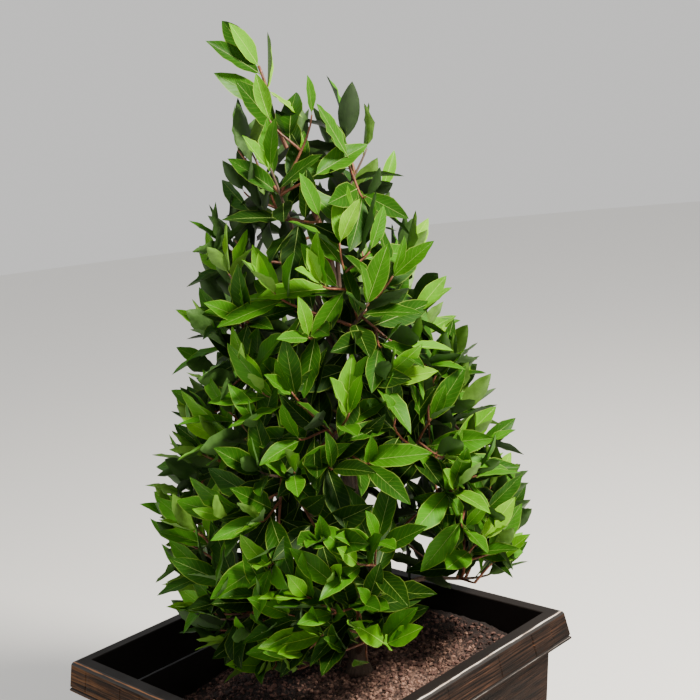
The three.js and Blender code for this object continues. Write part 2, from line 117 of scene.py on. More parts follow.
# The plant's foot, and the direction that the trunk leans to low down
FOOT = Vector((0.038, -0.039, SOIL_LEVEL))
LEAN = Vector((math.cos(math.radians(-45.6)), math.sin(math.radians(-45.6)), 0))
UP = Vector((0, 0, 1))

# Trunk, with heights above the compost
TRUNK_LEAN_BY_HEIGHT = (
    (0, 0), (0.008, 0.190), (0.024, 0.430), (0.022, 0.600), (-0.006, 0.710), (-0.024, 0.765),
)
TRUNK_RADIUS = 0.012
TRUNK_TIP_RADIUS = 0.0026
ROOT_FLARE = 0.008
ROOT_FLARE_HEIGHT = 0.045

# Crown: its radius out to the leaf tips, by height above the compost
CROWN_OUTLINE = (
    (0.130, 0.025), (0.225, 0.075), (0.258, 0.140), (0.274, 0.230), (0.270, 0.325), (0.232, 0.400),
    (0.208, 0.480), (0.180, 0.560), (0.160, 0.660), (0.132, 0.740), (0.100, 0.845), (0.088, 0.856),
)
CROWN_TOP = 0.852
CROWN_MIDDLE = 0.35

# How far stray shoots reach past the outline, and how far leaves near the top keep inside it
STRAY_SHARE = 0.22
STRAY_REACH = 1.09
TOP_REACH = 0.86
TOP_HEIGHTS = (0.55, 0.74)

# The crown's lower edge, where shoots are thinned on the open side, and which shoots there would hang
# bare
SKIRT_HEIGHT = 0.015
SKIRT_RISE = 0.105
SKIRT_REACHES = (0.030, 0.200)
SKIRT_FRONT_RISE = 0.45
SKIRT_SLACK = 0.006
FRONT = LEAN.cross(UP)
THIN_HEIGHT = 0.170
THIN_REACHES = (0.045, 0.170)
THIN_SHARE = 0.99
BARE_REACH = 0.11
BARE_HEIGHT = 0.022

# Shoots and leaves. INNER_LEAVES says how many more leaves stems, main shoots and fine shoots have
# behind the others, and LEAFLESS_SHARE how much of each stays bare at its root.
SHOOT_CHOICES = 1500
SHOOT_DEPTH = 0.066
SHOOT_MARGIN = 0.010
SHOOT_DIP = 0.004
SHOOT_RADIUS = 0.0025
FINE_SHOOT_RADIUS = 0.0019
SHOOT_TIP_RADIUS = 0.0012
INNER_LEAVES = (8, 5, 1)
LEAF_SPACING = (0.005, 0.0150)
LEAFLESS_SHARE = 0.12
GOLDEN_ANGLE = math.radians(137.5)
SOURCE_SEED = 102
LEAF_SEED = 311
LEAF_FORMS = 9

# Rings of foliage: masses, turn, the sites' radius, height and stagger, where the bough leaves the
# trunk and enters its mass, its radii, how many shoots and finer shoots each mass has, and how many
# leaves each shoot has
Ring = namedtuple("Ring", "name masses turn radius height stagger leaves_trunk enters bough "
                  "shoots fine leaves")
RINGS = (
    Ring("low", 5, 20, 0.160, 0.150, 0.012, 0.038, (0.074, 0.108), (0.0070, 0.0042), 8, 12, 9),
    Ring("middle", 4, 20, 0.128, 0.335, 0.016, 0.175, (0.062, 0.280), (0.0062, 0.0038), 7, 12, 9),
    Ring("upper", 3, 14, 0.088, 0.515, 0.016, 0.345, (0.044, 0.450), (0.0052, 0.0032), 6, 10, 8),
    Ring("top", 3, -45.6, 0.060, 0.690, 0.025, 0.470, (0.034, 0.600), (0.0044, 0.0028), 7, 2, 6),
)
LEADER_LEAN = -0.042
LEADER_HEIGHT = 0.856
LEADER_TIP_RADIUS = 0.0022
RED_BARK_HEIGHT = 0.83

# The leader's leaves: share of its stem, the way each points and how steeply, the way its upper side
# faces, size and tone
LEADER_LEAVES = (
    (1.00, 98, 50, 200, 1.05, 1), (0.97, -168, 50, 235, 0.84, 3), (0.86, 173, 33, 215, 1.00, 1),
    (0.62, 26, 66, 332, 0.96, 4), (0.42, 159, 35, 200, 0.98, 2), (0.55, 90, 20, 225, 0.60, 2),
    (0.66, -80, -38, 290, 0.75, 4), (0.06, -169, 42, 225, 1.10, 1), (0.20, -95, -30, 250, 0.80, 3),
)

# Leaf tones, from the oldest to the youngest, which also carry painted shade deep in the crown and
# painted light high in it, and the rows of corners along a blade and along a rib
TONES = ("old", "dark", "mid", "bright", "young")
LEAF_ROWS = (0.0, 0.08, 0.15, 0.25, 0.36, 0.48, 0.60, 0.71, 0.81, 0.91, 1.0)
RIB_ROWS = (0.0, 0.12, 0.28, 0.44, 0.60, 0.76, 0.95)
STALK_SHARE = 0.08
LEAST_HALF = 0.0007

# Camera, at the photograph's angle, and the floor
CAMERA_PLACE = Vector((-1.07255, -1.22105, 1.02364))
CAMERA_RIGHT = Vector((0.694687, -0.711507, -0.105680))
CAMERA_UP = Vector((0.209793, 0.059882, 0.975910))
CAMERA_AHEAD = CAMERA_UP.cross(CAMERA_RIGHT)
CAMERA_FOCAL_PIXELS = 1212.19
PICTURE_PIXELS = 700
SENSOR = 36.0
FLOOR_RADIUS = 9.0

# Corners of a mesh that are nearer to each other than this are joined
MERGE = 1e-6


def lerp(low, high, share):
    return low + (high - low) * share


def clamp(value, low=0.0, high=1.0):
    return max(low, min(high, value))


def smoothstep(value, low, high):
    share = clamp((value - low) / (high - low))
    return share * share * (3 - 2 * share)


def tint(label, words, colour):
    return FloatVectorProperty(name=label, description=words, default=colour, subtype="COLOR",
                               size=3, min=0, max=1)


def amount(label, words, value, unit="NONE"):
    return FloatProperty(name=label, description=words, default=value, unit=unit, min=0)


def metres(label, words, length):
    return amount(label, words, length, "LENGTH")


# What a user would change

class PlanterSettings(bpy.types.PropertyGroup):
    grain_depth: metres("Grain depth", "Height of the embossed grain", 0.00035)
    groove_depth: metres("Seam depth", "Depth of the upright seams in the band", 0.0011)
    charcoal: tint("Charcoal", "Colour of the moulding", (0.0088, 0.0066, 0.0058))
    brown: tint("Brown", "Colour of the softer grain", (0.030, 0.0150, 0.0095))
    bronze: tint("Bronze", "Colour rubbed on the raised grain", (0.26, 0.115, 0.055))
    # Pale grey of the ledge: a painted sheen where the ledge catches the light on the dark moulding
    ledge: tint("Ledge", "Dusty ledge inside", (0.12, 0.12, 0.125))
    side_brown: tint("Side brown", "Warmer brown of the band beside the front", (0.112, 0.050, 0.020))
    edge: tint("Worn edge", "Copper of the worn outer edge", (0.56, 0.235, 0.090))
    # Near-white of the edge on the front side: a painted highlight on the rounded edge
    painted_edge_highlight: tint("Bright edge", "Where the edge is rubbed palest", (0.95, 0.88, 0.80))


class CompostSettings(bpy.types.PropertyGroup):
    crumbs: IntProperty(name="Crumbs", description="Loose crumbs on the surface", default=9000, min=0)
    crumb_size: metres("Crumb size", "Radius of a middling crumb", 0.0030)
    dark: tint("Dark", "Damp compost", (0.030, 0.014, 0.011))
    warm: tint("Warm", "Red-brown compost", (0.108, 0.053, 0.041))
    # Paler compost round one spot: partly dried compost, partly a painted pool of light
    dry: tint("Dry", "Compost that has dried", (0.260, 0.145, 0.105))
    pale: tint("Pale", "Small pale bits", (0.42, 0.27, 0.18))


class PlantSettings(bpy.types.PropertyGroup):
    leaf_length: metres("Leaf length", "Length of a full-grown leaf with its stalk", 0.088)
    leaf_width: metres("Leaf width", "Width of a full-grown leaf", 0.0315)
    leaf_thickness: metres("Leaf thickness", "Thickness in the middle of a leaf", 0.0009)
    # Darkest leaf colour, for old leaves and as painted shade deep in the crown
    old: tint("Old leaf", "Leaves deep in the crown", (0.0062, 0.025, 0.0016))
    dark: tint("Dark leaf", "Full-grown leaves in shade", (0.0125, 0.055, 0.0020))
    mid: tint("Leaf", "Full-grown leaves", (0.030, 0.122, 0.0026))
    bright: tint("Bright leaf", "This year's leaves", (0.064, 0.208, 0.0030))
    young: tint("Young leaf", "Leaves just out", (0.118, 0.295, 0.0045))
    rib: tint("Rib", "Midribs", (0.30, 0.46, 0.065))
    bark: tint("Bark", "Trunk and boughs", (0.080, 0.050, 0.033))
    red_bark: tint("Young bark", "The trunk near its top", (0.120, 0.046, 0.022))
    shoot: tint("Shoot bark", "Red-brown bark of the shoots", (0.135, 0.045, 0.018))


class StudioSettings(bpy.types.PropertyGroup):
    floor: tint("Floor", "Plain pale floor", (0.84, 0.83, 0.81))
    key: amount("Key light", "Power of the key light in watts", 236, "POWER")
    fill: amount("Fill light", "Power of the fill light in watts", 5, "POWER")
    sky: amount("Sky", "Strength of the even light", 0.78)


# Shader expressions

def maths(operation, swapped=False):
    """A method that puts a shade and another value into one maths node."""
    def method(self, other=0.0):
        first, second = (other, self) if swapped else (self, other)
        return self.finish.node("ShaderNodeMath", {"operation": operation}, {0: first, 1: second})
    return method


class Shade:
    """A shader socket that takes part in plain expressions."""

    def __init__(self, finish, socket):
        self.finish = finish
        self.socket = socket

    __add__ = maths("ADD")
    __radd__ = maths("ADD", swapped=True)
    __sub__ = maths("SUBTRACT")
    __rsub__ = maths("SUBTRACT", swapped=True)
    __mul__ = maths("MULTIPLY")
    __rmul__ = maths("MULTIPLY", swapped=True)
    __abs__ = maths("ABSOLUTE")
    wave = maths("SINE")

    def between(self, low, high, to_low=0.0, to_high=1.0):
        """Goes smoothly from to_low to to_high as the value goes from low to high."""
        return self.finish.node("ShaderNodeMapRange", {"interpolation_type": "SMOOTHSTEP"},
                                {0: self, 1: low, 2: high, 3: to_low, 4: to_high})


class Finish:
    """A material, and the nodes that give it its looks."""

    def __init__(self, name, **constants):
        self.material = bpy.data.materials.new(name)
        self.material.use_nodes = True
        self.tree = self.material.node_tree
        self.shader = self.tree.nodes["Principled BSDF"]
        self.set(**constants)

    def feed(self, socket, value):
        if isinstance(value, Shade):
            self.tree.links.new(value.socket, socket)
        elif socket.type == "RGBA":
            socket.default_value = (*value[:3], 1)
        else:
            socket.default_value = value

    def set(self, bump=None, **values):
        """Sets sockets of the shader, and its bump by height, distance and strength."""
        for name, value in values.items():
            self.feed(self.shader.inputs[name.replace("_", " ").title().replace("Ior", "IOR")], value)
        if bump:
            relief = dict(zip(("Height", "Distance", "Strength"), bump))
            self.feed(self.shader.inputs["Normal"], self.node("ShaderNodeBump", {}, relief))
        return self.material

    def node(self, kind, settings=None, values=None, output=0):
        made = self.tree.nodes.new(kind)
        for name, value in (settings or {}).items():
            setattr(made, name, value)
        for socket, value in (values or {}).items():
            self.feed(made.inputs[socket], value)
        return Shade(self, made.outputs[output])

    def place(self, scale=(1, 1, 1), source="Object"):
        """Object coordinates or the piece's own map, stretched."""
        coordinates = self.node("ShaderNodeTexCoord", output=source)
        return self.node("ShaderNodeMapping", {}, {"Vector": coordinates, "Scale": scale})

    def split(self, vector):
        parts = self.tree.nodes.new("ShaderNodeSeparateXYZ")
        self.feed(parts.inputs[0], vector)
        return [Shade(self, socket) for socket in parts.outputs]

    def speckle(self, vector, scale, detail=3.0, roughness=0.6):
        return self.node("ShaderNodeTexNoise", {"noise_dimensions": "3D"},
                         {"Vector": vector, "Scale": scale, "Detail": detail, "Roughness": roughness})

    def streaks(self, scale, detail, roughness=0.6, source="UV"):
        """Speckle that is stretched by its scale along each way."""
        return self.speckle(self.place(scale, source), 1.0, detail, roughness)

    def mix(self, share, first, second):
        values = {0: share, 6: first, 7: second}
        return self.node("ShaderNodeMix", {"data_type": "RGBA"}, values, output=2)

    def shades(self, share, colour, low, high):
        """The colour itself, from low to high times as bright."""
        return self.mix(share, scaled(colour, low), scaled(colour, high))


def scaled(colour, share):
    return tuple(clamp(channel * share) for channel in colour)


# Materials

def rubbed_moulding(name, settings, rub):
    """Charcoal moulding with bronze rubbed on its raised grain, which runs along each side. Beside the
    front the band is browner and rubbed back further."""
    finish = Finish(name, specular_ior_level=0.07)
    along, _, _ = finish.split(finish.place(source="UV"))
    _, _, height = finish.split(finish.place())
    aside = along.between(*PAST_FRONT)
    aside = aside * height.between(COLLAR_FOOT - 0.002, COLLAR_FOOT + 0.004, 0.1, 1.0)
    grain = finish.streaks((11, 420, 1), 5.0, 0.62)
    threads = finish.streaks((30, 1500, 1), 2.0)
    patches = finish.streaks((9, 24, 1), 3.0)
    stripes = finish.streaks((6, 120, 1), 4.0, 0.7)
    softer = grain.between(0.40, 0.62) * patches.between(0.34, 0.60, 0.2, 1.0)
    worn = grain.between(0.54, 0.72) * patches.between(0.48, 0.68, 0.06, 1.0)
    worn = worn * threads.between(0.38, 0.62)
    worn = worn * (aside * 0.6 + rub) * stripes.between(0.38, 0.58, 0.3, 1.0)
    browner = aside * stripes.between(0.40, 0.60, 0.05, 1.0) * grain.between(0.34, 0.60, 0.35, 1.0)
    body = finish.mix(softer, scaled(settings.charcoal, 0.45), settings.brown)
    body = finish.mix(browner, body, settings.side_brown)
    return finish.set(base_color=finish.mix(worn, body, settings.bronze), metallic=worn * 0.5,
                      roughness=patches.between(0.3, 0.7, 0.58, 0.70) - worn * 0.14,
                      bump=(grain + threads * 0.3, 0.0009, 0.8))


def worn_edge(name, settings, middle, reach, shine):
    """An edge rubbed back along an uneven line to copper. On the front side the line is stronger and
    near-white: a painted highlight on the rounding.
    """
    finish = Finish(name, specular_ior_level=0.4)
    along, height, _ = finish.split(finish.place(source="UV"))
    drift = finish.streaks((7, 0, 1), 2.0)
    stripes = finish.streaks((30, 500, 1), 3.0)
    away = abs(height - middle + (drift - 0.5) * (reach * 2.0))
    worn = 1 - (away + (stripes - 0.5) * (reach * 2.2)).between(reach * 0.25, reach * 0.8)
    # The line is twice as strong on the front side as on the others: part of the painted highlight
    worn = worn * drift.between(0.30, 0.46, 0.35, 1.0) * along.between(*PAST_FRONT, 1.0, 0.5) * shine
    # Near-white painted highlight on the front side, copper on the others
    copper_and_highlight = finish.mix(along.between(*PAST_FRONT), settings.painted_edge_highlight, settings.edge)
    copper_and_highlight = finish.mix(stripes.between(0.35, 0.65) * 0.5, copper_and_highlight, settings.edge)
    return finish.set(base_color=finish.mix(worn, settings.charcoal, copper_and_highlight), metallic=worn * 0.6,
                      roughness=0.52 - worn * 0.20, bump=(stripes, 0.0004, 0.6))


def inner_moulding(name, colour):
    """The rim's flat top and the inside, matt and nearly plain."""
    finish = Finish(name, specular_ior_level=0.18)
    place = finish.place()
    cloud = finish.speckle(place, 14.0, 4.0)
    return finish.set(base_color=finish.shades(cloud, colour, 0.7, 1.5),
                      roughness=cloud.between(0.3, 0.7, 0.56, 0.70),
                      bump=(finish.speckle(place, 900.0, 2.0), 0.00025, 0.5))


def damp_compost(settings):
    """Damp compost, darkened further as painted shade between the crumbs, and paler round one spot,
    partly as dried compost and partly as a painted pool of light.
    """
    finish = Finish("compost", roughness=0.96)
    place = finish.place()
    x, y, _ = finish.split(place)
    clods = finish.speckle(place, 95.0, 6.0, 0.72)
    granules = finish.speckle(place, 260.0, 2.0)
    patches = finish.speckle(place, 11.0, 2.0)
    # Paler round one spot: partly dried compost, partly a painted pool of light
    away = (x - DRY_AND_LIT_SPOT.x) * (x - DRY_AND_LIT_SPOT.x) + (y - DRY_AND_LIT_SPOT.y) * (y - DRY_AND_LIT_SPOT.y)
    dry = 1 - away.between(DRY_AND_LIT_RADIUS ** 2 * 0.3, DRY_AND_LIT_RADIUS ** 2 * 1.6)
    warm = (clods + granules).between(0.84, 1.24) * patches.between(0.3, 0.7, 0.55, 1.0)
    # Under the crumbs the compost is kept very dark: damp compost, and painted shade in the gaps
    # between crumbs
    damp_and_shaded = finish.mix(warm, scaled(settings.dark, 0.25), scaled(settings.warm, 0.28))
    dried_and_lit = finish.mix(warm, scaled(settings.dark, 0.9), scaled(settings.dry, 1.1))
    return finish.set(base_color=finish.mix(dry, damp_and_shaded, dried_and_lit),
                      bump=(clods + granules * 0.8, 0.0050, 0.9))


def crumb_finish(name, colour):
    finish = Finish(name, roughness=0.95)
    grit = finish.speckle(finish.place(), 700.0, 3.0, 0.7)
    return finish.set(base_color=finish.shades(grit.between(0.3, 0.7), colour, 0.55, 1.35),
                      bump=(grit, 0.0008, 0.8))


def leaf_finish(name, colour, gloss, roughness, pale):
    """A bay leaf's upper side: waxy, with pale side veins and a pale thin margin, partly the leaf's own
    paler edge and partly a painted highlight along its rim.
    """
    finish = Finish(name, coat_roughness=0.3, specular_ior_level=gloss)
    along, across, _ = finish.split(finish.place(source="UV"))
    outwards = abs(across * 2 - 1)
    veins = ((along * 11 - outwards * 2.2) * (2 * math.pi)).wave().between(0.80, 1.0)
    place = finish.place()
    cloud = finish.speckle(place, 16.0)
    mottle = finish.speckle(place, 240.0, 2.0)
    body = finish.shades(cloud.between(0.3, 0.7), colour, 0.74, 1.28)
    body = finish.mix(mottle.between(0.45, 0.75) * 0.25, body, scaled(colour, 1.6))
    # The pale margin: partly the leaf's own edge, partly a painted highlight along the rim
    margin_and_rim_highlight = outwards.between(0.90, 1.0)
    return finish.set(base_color=finish.mix(veins * 0.12 + margin_and_rim_highlight * 0.75, body, pale),
                      roughness=roughness + mottle * 0.12,
                      coat_weight=cloud.between(0.45, 0.75, 0.0, 0.05),
                      bump=(veins * 0.5 + mottle * 0.7, 0.0004, 0.6))


def underside_finish(name, colour):
    """A leaf's matt underside, paler than its upper side."""
    finish = Finish(name)
    mottle = finish.speckle(finish.place(), 160.0)
    return finish.set(base_color=finish.shades(mottle.between(0.3, 0.7), colour, 0.8, 1.15),
                      roughness=mottle.between(0.3, 0.7, 0.52, 0.66))


def bark_finish(name, colour, roughness):
    """Bark with upright cracks and small pale pores."""
    finish = Finish(name)
    cracks = finish.streaks((320, 320, 45), 4.0, source="Object")
    pores = finish.streaks((260, 260, 420), 1.0, source="Object")
    cloud = finish.speckle(finish.place(), 26.0)
    body = finish.shades(cracks.between(0.36, 0.62), colour, 0.45, 1.2)
    body = finish.mix(cloud.between(0.35, 0.7) * 0.5, body, scaled(colour, 1.7))
    return finish.set(base_color=finish.mix(pores.between(0.66, 0.74) * 0.5, body, scaled(colour, 3.0)),
                      roughness=cloud.between(0.3, 0.7, roughness, roughness + 0.14),
                      bump=(cracks + pores * 0.4, 0.0008, 0.8))


# Making meshes

def bent_grid(bm, columns, rows, place):
    """Adds a grid, and puts each corner where place(column, row) says: its spot and its map place."""
    made = bmesh.ops.create_grid(bm, x_segments=columns, y_segments=rows, size=1.0)
    map_layer = bm.loops.layers.uv.verify()
    faces = {face for vert in made["verts"] for face in vert.link_faces}
    map_places = {}
    for vert in made["verts"]:
        column = round((vert.co.x + 1) / 2 * columns)
        row = round((vert.co.y + 1) / 2 * rows)
        vert.co, map_places[vert] = place(column, row)
    for face in faces:
        for loop in face.loops:
            loop[map_layer].uv = map_places[loop.vert]
    return faces


def closed(bm):
    """Joins the corners that meet and closes the open ends."""
    bmesh.ops.remove_doubles(bm, verts=bm.verts[:], dist=MERGE)
    bmesh.ops.holes_fill(bm, edges=bm.edges[:])


def piece_of(mesh, materials, replaces=()):
    """Links a finished mesh as a piece of its name, which rides with the plant and its planter."""
    for material in materials:
        mesh.materials.append(material)
    piece = bpy.data.objects.new(mesh.name, mesh)
    bpy.context.scene.collection.objects.link(piece)
    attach(piece, "root")
    if replaces:
        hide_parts(*replaces)
    return piece


def smoothed(mesh, sharp):
    """The mesh made smooth, with the edges over an angle in degrees kept sharp."""
    mesh.shade_smooth()
    if sharp:
        mesh.set_sharp_from_angle(angle=math.radians(sharp))
    return mesh


def mesh_of(name, bm, sharp=None):
    """A smooth mesh of a bmesh, with its seams closed."""
    bmesh.ops.remove_doubles(bm, verts=bm.verts[:], dist=MERGE)
    bmesh.ops.recalc_face_normals(bm, faces=bm.faces[:])
    mesh = bpy.data.meshes.new(name)
    bm.to_mesh(mesh)
    bm.free()
    return smoothed(mesh, sharp)


class Shape:
    """A small closed shape that is repeated many times."""

    def __init__(self, bm):
        bm.verts.index_update()
        map_layer = bm.loops.layers.uv.active
        self.spots = np.array([vert.co[:] for vert in bm.verts])
        self.corners = np.array([loop.vert.index for face in bm.faces for loop in face.loops])
        self.sizes = np.array([len(face.loops) for face in bm.faces])
        self.kinds = np.array([face.material_index for face in bm.faces])
        self.maps = np.zeros((len(self.corners), 2))
        if map_layer:
            self.maps = np.array([loop[map_layer].uv[:] for face in bm.faces for loop in face.loops])
        bm.free()


def joined_copies(name, copies, sharp=None):
    """One mesh of many copies. A copy is its shape, turn and size, spot, and materials by kind."""
    parts = []
    count = 0
    for shape, turn, spot, materials in copies:
        spots = shape.spots @ np.array(turn).T + np.array(spot)
        kinds = np.array(materials)[shape.kinds]
        parts.append((spots, shape.corners + count, shape.sizes, kinds, shape.maps))
        count += len(shape.spots)
    spots, corners, sizes, kinds, maps = map(np.concatenate, zip(*parts))
    mesh = bpy.data.meshes.new(name)
    mesh.vertices.add(len(spots))
    mesh.vertices.foreach_set("co", spots.ravel())
    mesh.loops.add(len(corners))
    mesh.loops.foreach_set("vertex_index", corners)
    mesh.polygons.add(len(sizes))
    mesh.polygons.foreach_set("loop_start", np.concatenate(([0], np.cumsum(sizes)[:-1])))
    mesh.polygons.foreach_set("material_index", kinds)
    mesh.update(calc_edges=True)
    mesh.uv_layers.new(name="UVMap").data.foreach_set("uv", maps.ravel())
    return smoothed(mesh, sharp)


# Draws and paths, by the source's rules

class Draws:
    """Seeded draws, the same as those of the part's source."""

    MASK = 0xFFFFFFFF

    def __init__(self, seed):
        self.state = seed

    def draw(self):
        self.state = (self.state + 0x6D2B79F5) & self.MASK
        mixed = (self.state ^ self.state >> 15) * (self.state | 1) & self.MASK
        mixed ^= (mixed + ((mixed ^ mixed >> 7) * (mixed | 61) & self.MASK)) & self.MASK
        return (mixed ^ mixed >> 14) / 2 ** 32

    def vary(self, middle, spread):
        return middle + spread * (2 * self.draw() - 1)

    def pick(self, choices):
        return choices[int(self.draw() * len(choices))]


class Path:
    """A curve through space, read by its share of length."""

    def __init__(self, spots):
        self.spots = spots
        self.reaches = [0.0]
        for first, second in zip(spots, spots[1:]):
            self.reaches.append(self.reaches[-1] + (second - first).length)
        self.length = self.reaches[-1]

    def _stretch(self, share):
        reach = clamp(share) * self.length
        index = min(int(np.searchsorted(self.reaches, reach, side="right")), len(self.spots) - 1)
        return reach, max(index, 1)

    def at(self, share):
        reach, index = self._stretch(share)
        start, end = self.reaches[index - 1], self.reaches[index]
        return self.spots[index - 1].lerp(self.spots[index], clamp((reach - start) / (end - start)))

    def heading(self, share):
        _, index = self._stretch(share)
        return (self.spots[index] - self.spots[index - 1]).normalized()

    def frames(self, steps, end):
        """Spots with two directions across the path that don't twist."""
        frames = []
        across = self.heading(0).orthogonal().normalized()
        for step in range(steps + 1):
            share = end * step / steps
            heading = self.heading(share)
            across = (across - heading * across.dot(heading)).normalized()
            frames.append((self.at(share), across, heading.cross(across)))
        return frames


def bezier(corners, steps=24):
    spots = []
    for step in range(steps + 1):
        level = list(corners)
        while len(level) > 1:
            level = [first.lerp(second, step / steps) for first, second in zip(level, level[1:])]
        spots.append(level[0])
    return Path(spots)


def slope(before, spot, after, first, second):
    """A centripetal curve's slope at a knot. The last two are the roots of its distances from the
    knots beside it."""
    return (spot - before) / first - (after - before) / (first + second) + (after - spot) / second


def smooth_curve(knots, steps=16):
    """A centripetal curve through every knot."""
    ends = [2 * knots[0] - knots[1], *knots, 2 * knots[-1] - knots[-2]]
    spots = [knots[0]]
    for before, start, end, after in zip(ends, ends[1:], ends[2:], ends[3:]):
        first = math.sqrt((start - before).length)
        middle = math.sqrt((end - start).length)
        last = math.sqrt((after - end).length)
        leaving = slope(before, start, end, first, middle) * middle
        coming = slope(start, end, after, middle, last) * middle
        for step in range(1, steps + 1):
            t = step / steps
            spots.append(start * (2 * t ** 3 - 3 * t ** 2 + 1) + leaving * (t ** 3 - 2 * t ** 2 + t)
                         + end * (3 * t ** 2 - 2 * t ** 3) + coming * (t ** 3 - t ** 2))
    return Path(spots)


def stem_path(start, leaving, tip, arriving):
    far = (tip - start).length
    return bezier([start, start + leaving * 0.3 * far, tip - arriving * 0.35 * far, tip])


def around_axis(radius, angle, height):
    return Vector((radius * math.cos(angle), radius * math.sin(angle), height))


def outline_radius(height):
    if height <= CROWN_OUTLINE[0][1]:
        return CROWN_OUTLINE[0][0]
    for (last_radius, below), (radius, above) in zip(CROWN_OUTLINE, CROWN_OUTLINE[1:]):
        if height < above:
            return lerp(last_radius, radius, (height - below) / (above - below))
    return 0.0


def skirt_height(spot):
    """The crown's lower edge, which rises towards the lean, where the crown is open, and in front."""
    opening = SKIRT_RISE * smoothstep(spot.dot(LEAN), *SKIRT_REACHES)
    return SKIRT_HEIGHT + opening + SKIRT_FRONT_RISE * max(0.0, spot.dot(FRONT))


def shoot_heading(tip):
    """Shoots point outwards low in the crown and more upwards near its top."""
    outwards = Vector((tip.x, tip.y, 0))
    if outwards.length < 0.001:
        outwards = LEAN.copy()
    rise = math.radians(lerp(18, 66, clamp(tip.z / 0.8)))
    return outwards.normalized() * math.cos(rise) + UP * math.sin(rise)


def shoot_choices(draws):
    """The source's even choices of shoot tips, a leaf's reach inside the crown's outline."""
    choices = []
    widest = max(radius for radius, _ in CROWN_OUTLINE)
    for i in range(SHOOT_CHOICES):
        height = CROWN_OUTLINE[-1][1] * (i * 0.7549 % 1)
        radius = outline_radius(height)
        spot = around_axis(radius, i * GOLDEN_ANGLE, height)
        if draws.draw() < radius / widest and height > skirt_height(spot):
            choices.append(spot - shoot_heading(spot) * SHOOT_DEPTH)
    return choices


def spread_out(choices, count, first):
    """As many of the choices as are wanted, each as far as it can be from those taken before."""
    taken = [first]
    apart = [(spot - first).length for spot in choices]
    while len(taken) < min(count, len(choices)):
        farthest = choices[max(range(len(choices)), key=apart.__getitem__)]
        taken.append(farthest)
        apart = [min(old, (spot - farthest).length) for old, spot in zip(apart, choices)]
    return taken


def clear_of_planter(spots):
    """Above the rim, or inside the planter's mouth and above the compost."""
    if all(spot.z > PLANTER_HEIGHT - SOIL_LEVEL + 0.003 for spot in spots):
        return True
    mouth = INNER_HALF - 0.006
    return all(spot.z > 0.010 and abs(spot.x + FOOT.x) < mouth and abs(spot.y + FOOT.y) < mouth
               for spot in spots)


# Growing the plant

# Where a leaf starts, the ways that it points and faces, its size, its share of the shoot, and its tone
Leaf = namedtuple("Leaf", "base along facing size share tone")


def trunk_radius(share, length):
    flare = ROOT_FLARE * max(0.0, 1 - share * length / ROOT_FLARE_HEIGHT) ** 2
    return lerp(TRUNK_RADIUS, TRUNK_TIP_RADIUS, share) + flare


def place_masses(trunk):
    """Where each mass sits, and the bough that enters it."""
    masses = []
    for ring in RINGS:
        for i in range(ring.masses):
            angle = math.radians(ring.turn) + i * 2 * math.pi / ring.masses
            lift = -ring.stagger if i % 2 else ring.stagger
            entry = around_axis(ring.enters[0], angle, ring.enters[1] + lift)
            leaves_trunk = ring.leaves_trunk + lift / 2
            starts = (trunk.at(step / 400) for step in range(401))
            start = min(starts, key=lambda spot: abs(spot.z - leaves_trunk))
            bend = start.lerp(entry, 0.55)
            bend.z = lerp(start.z, entry.z, 0.3)
            masses.append(SimpleNamespace(ring=ring, entry=entry, bough=bezier([start, bend, entry]),
                                          site=around_axis(ring.radius, angle, ring.height + lift)))
    return masses


def is_nearer(spot, site, other):
    """Whether a spot is on the first site's side of the plane between two, by the shoots' margin."""
    return (spot - (other + site) / 2).dot((other - site).normalized()) < -SHOOT_MARGIN


def grow_shoots(mass, masses, choices, draws):
    """The source's stem and shoots of one mass, and finer shoots between them."""
    ring = mass.ring
    others = [other.site for other in masses if other is not mass]
    own = [spot for spot in choices if all(is_nearer(spot, mass.site, other) for other in others)]
    first = min(own, key=lambda spot: (spot - mass.site).length)
    leaving = mass.bough.heading(1)
    stem = stem_path(mass.entry + leaving * GAP, leaving, first, shoot_heading(first))
    shoots = [SimpleNamespace(path=stem, thick=ring.bough[1], order=0, carrier=None)]
    for number, tip in enumerate(spread_out(own, ring.shoots + ring.fine, first)[1:]):
        is_fine = number >= ring.shoots - 1
        carriers = shoots[:ring.shoots] if is_fine else shoots[:1]
        spots = [(carrier, share / 20) for carrier in carriers for share in range(2, 19)]
        carrier, share = min(spots, key=lambda pair: (pair[0].path.at(pair[1]) - tip).length)
        share = clamp(share - 0.25 + draws.vary(0, 0.05), 0.1, 0.75)
        root = carrier.path.at(share)
        bow = shoot_heading(tip) * 0.3 * (tip - root).length
        path = bezier([root, root.lerp(tip, 0.3), tip - bow, tip], 12)
        if min(path.at(quarter / 4).z for quarter in range(4)) < min(root.z, tip.z) - SHOOT_DIP:
            continue
        above = tip.z - SKIRT_FRONT_RISE * tip.dot(FRONT)
        is_thin = above < THIN_HEIGHT and THIN_REACHES[0] < tip.dot(LEAN) < THIN_REACHES[1]
        if is_thin and draws.draw() < THIN_SHARE:
            continue
        if clear_of_planter([path.at(0.5), tip]):
            thick = FINE_SHOOT_RADIUS if is_fine else SHOOT_RADIUS
            shoots.append(SimpleNamespace(path=path, thick=thick, order=1 + is_fine, carrier=carrier,
                                          leaves_carrier=share))
    return shoots


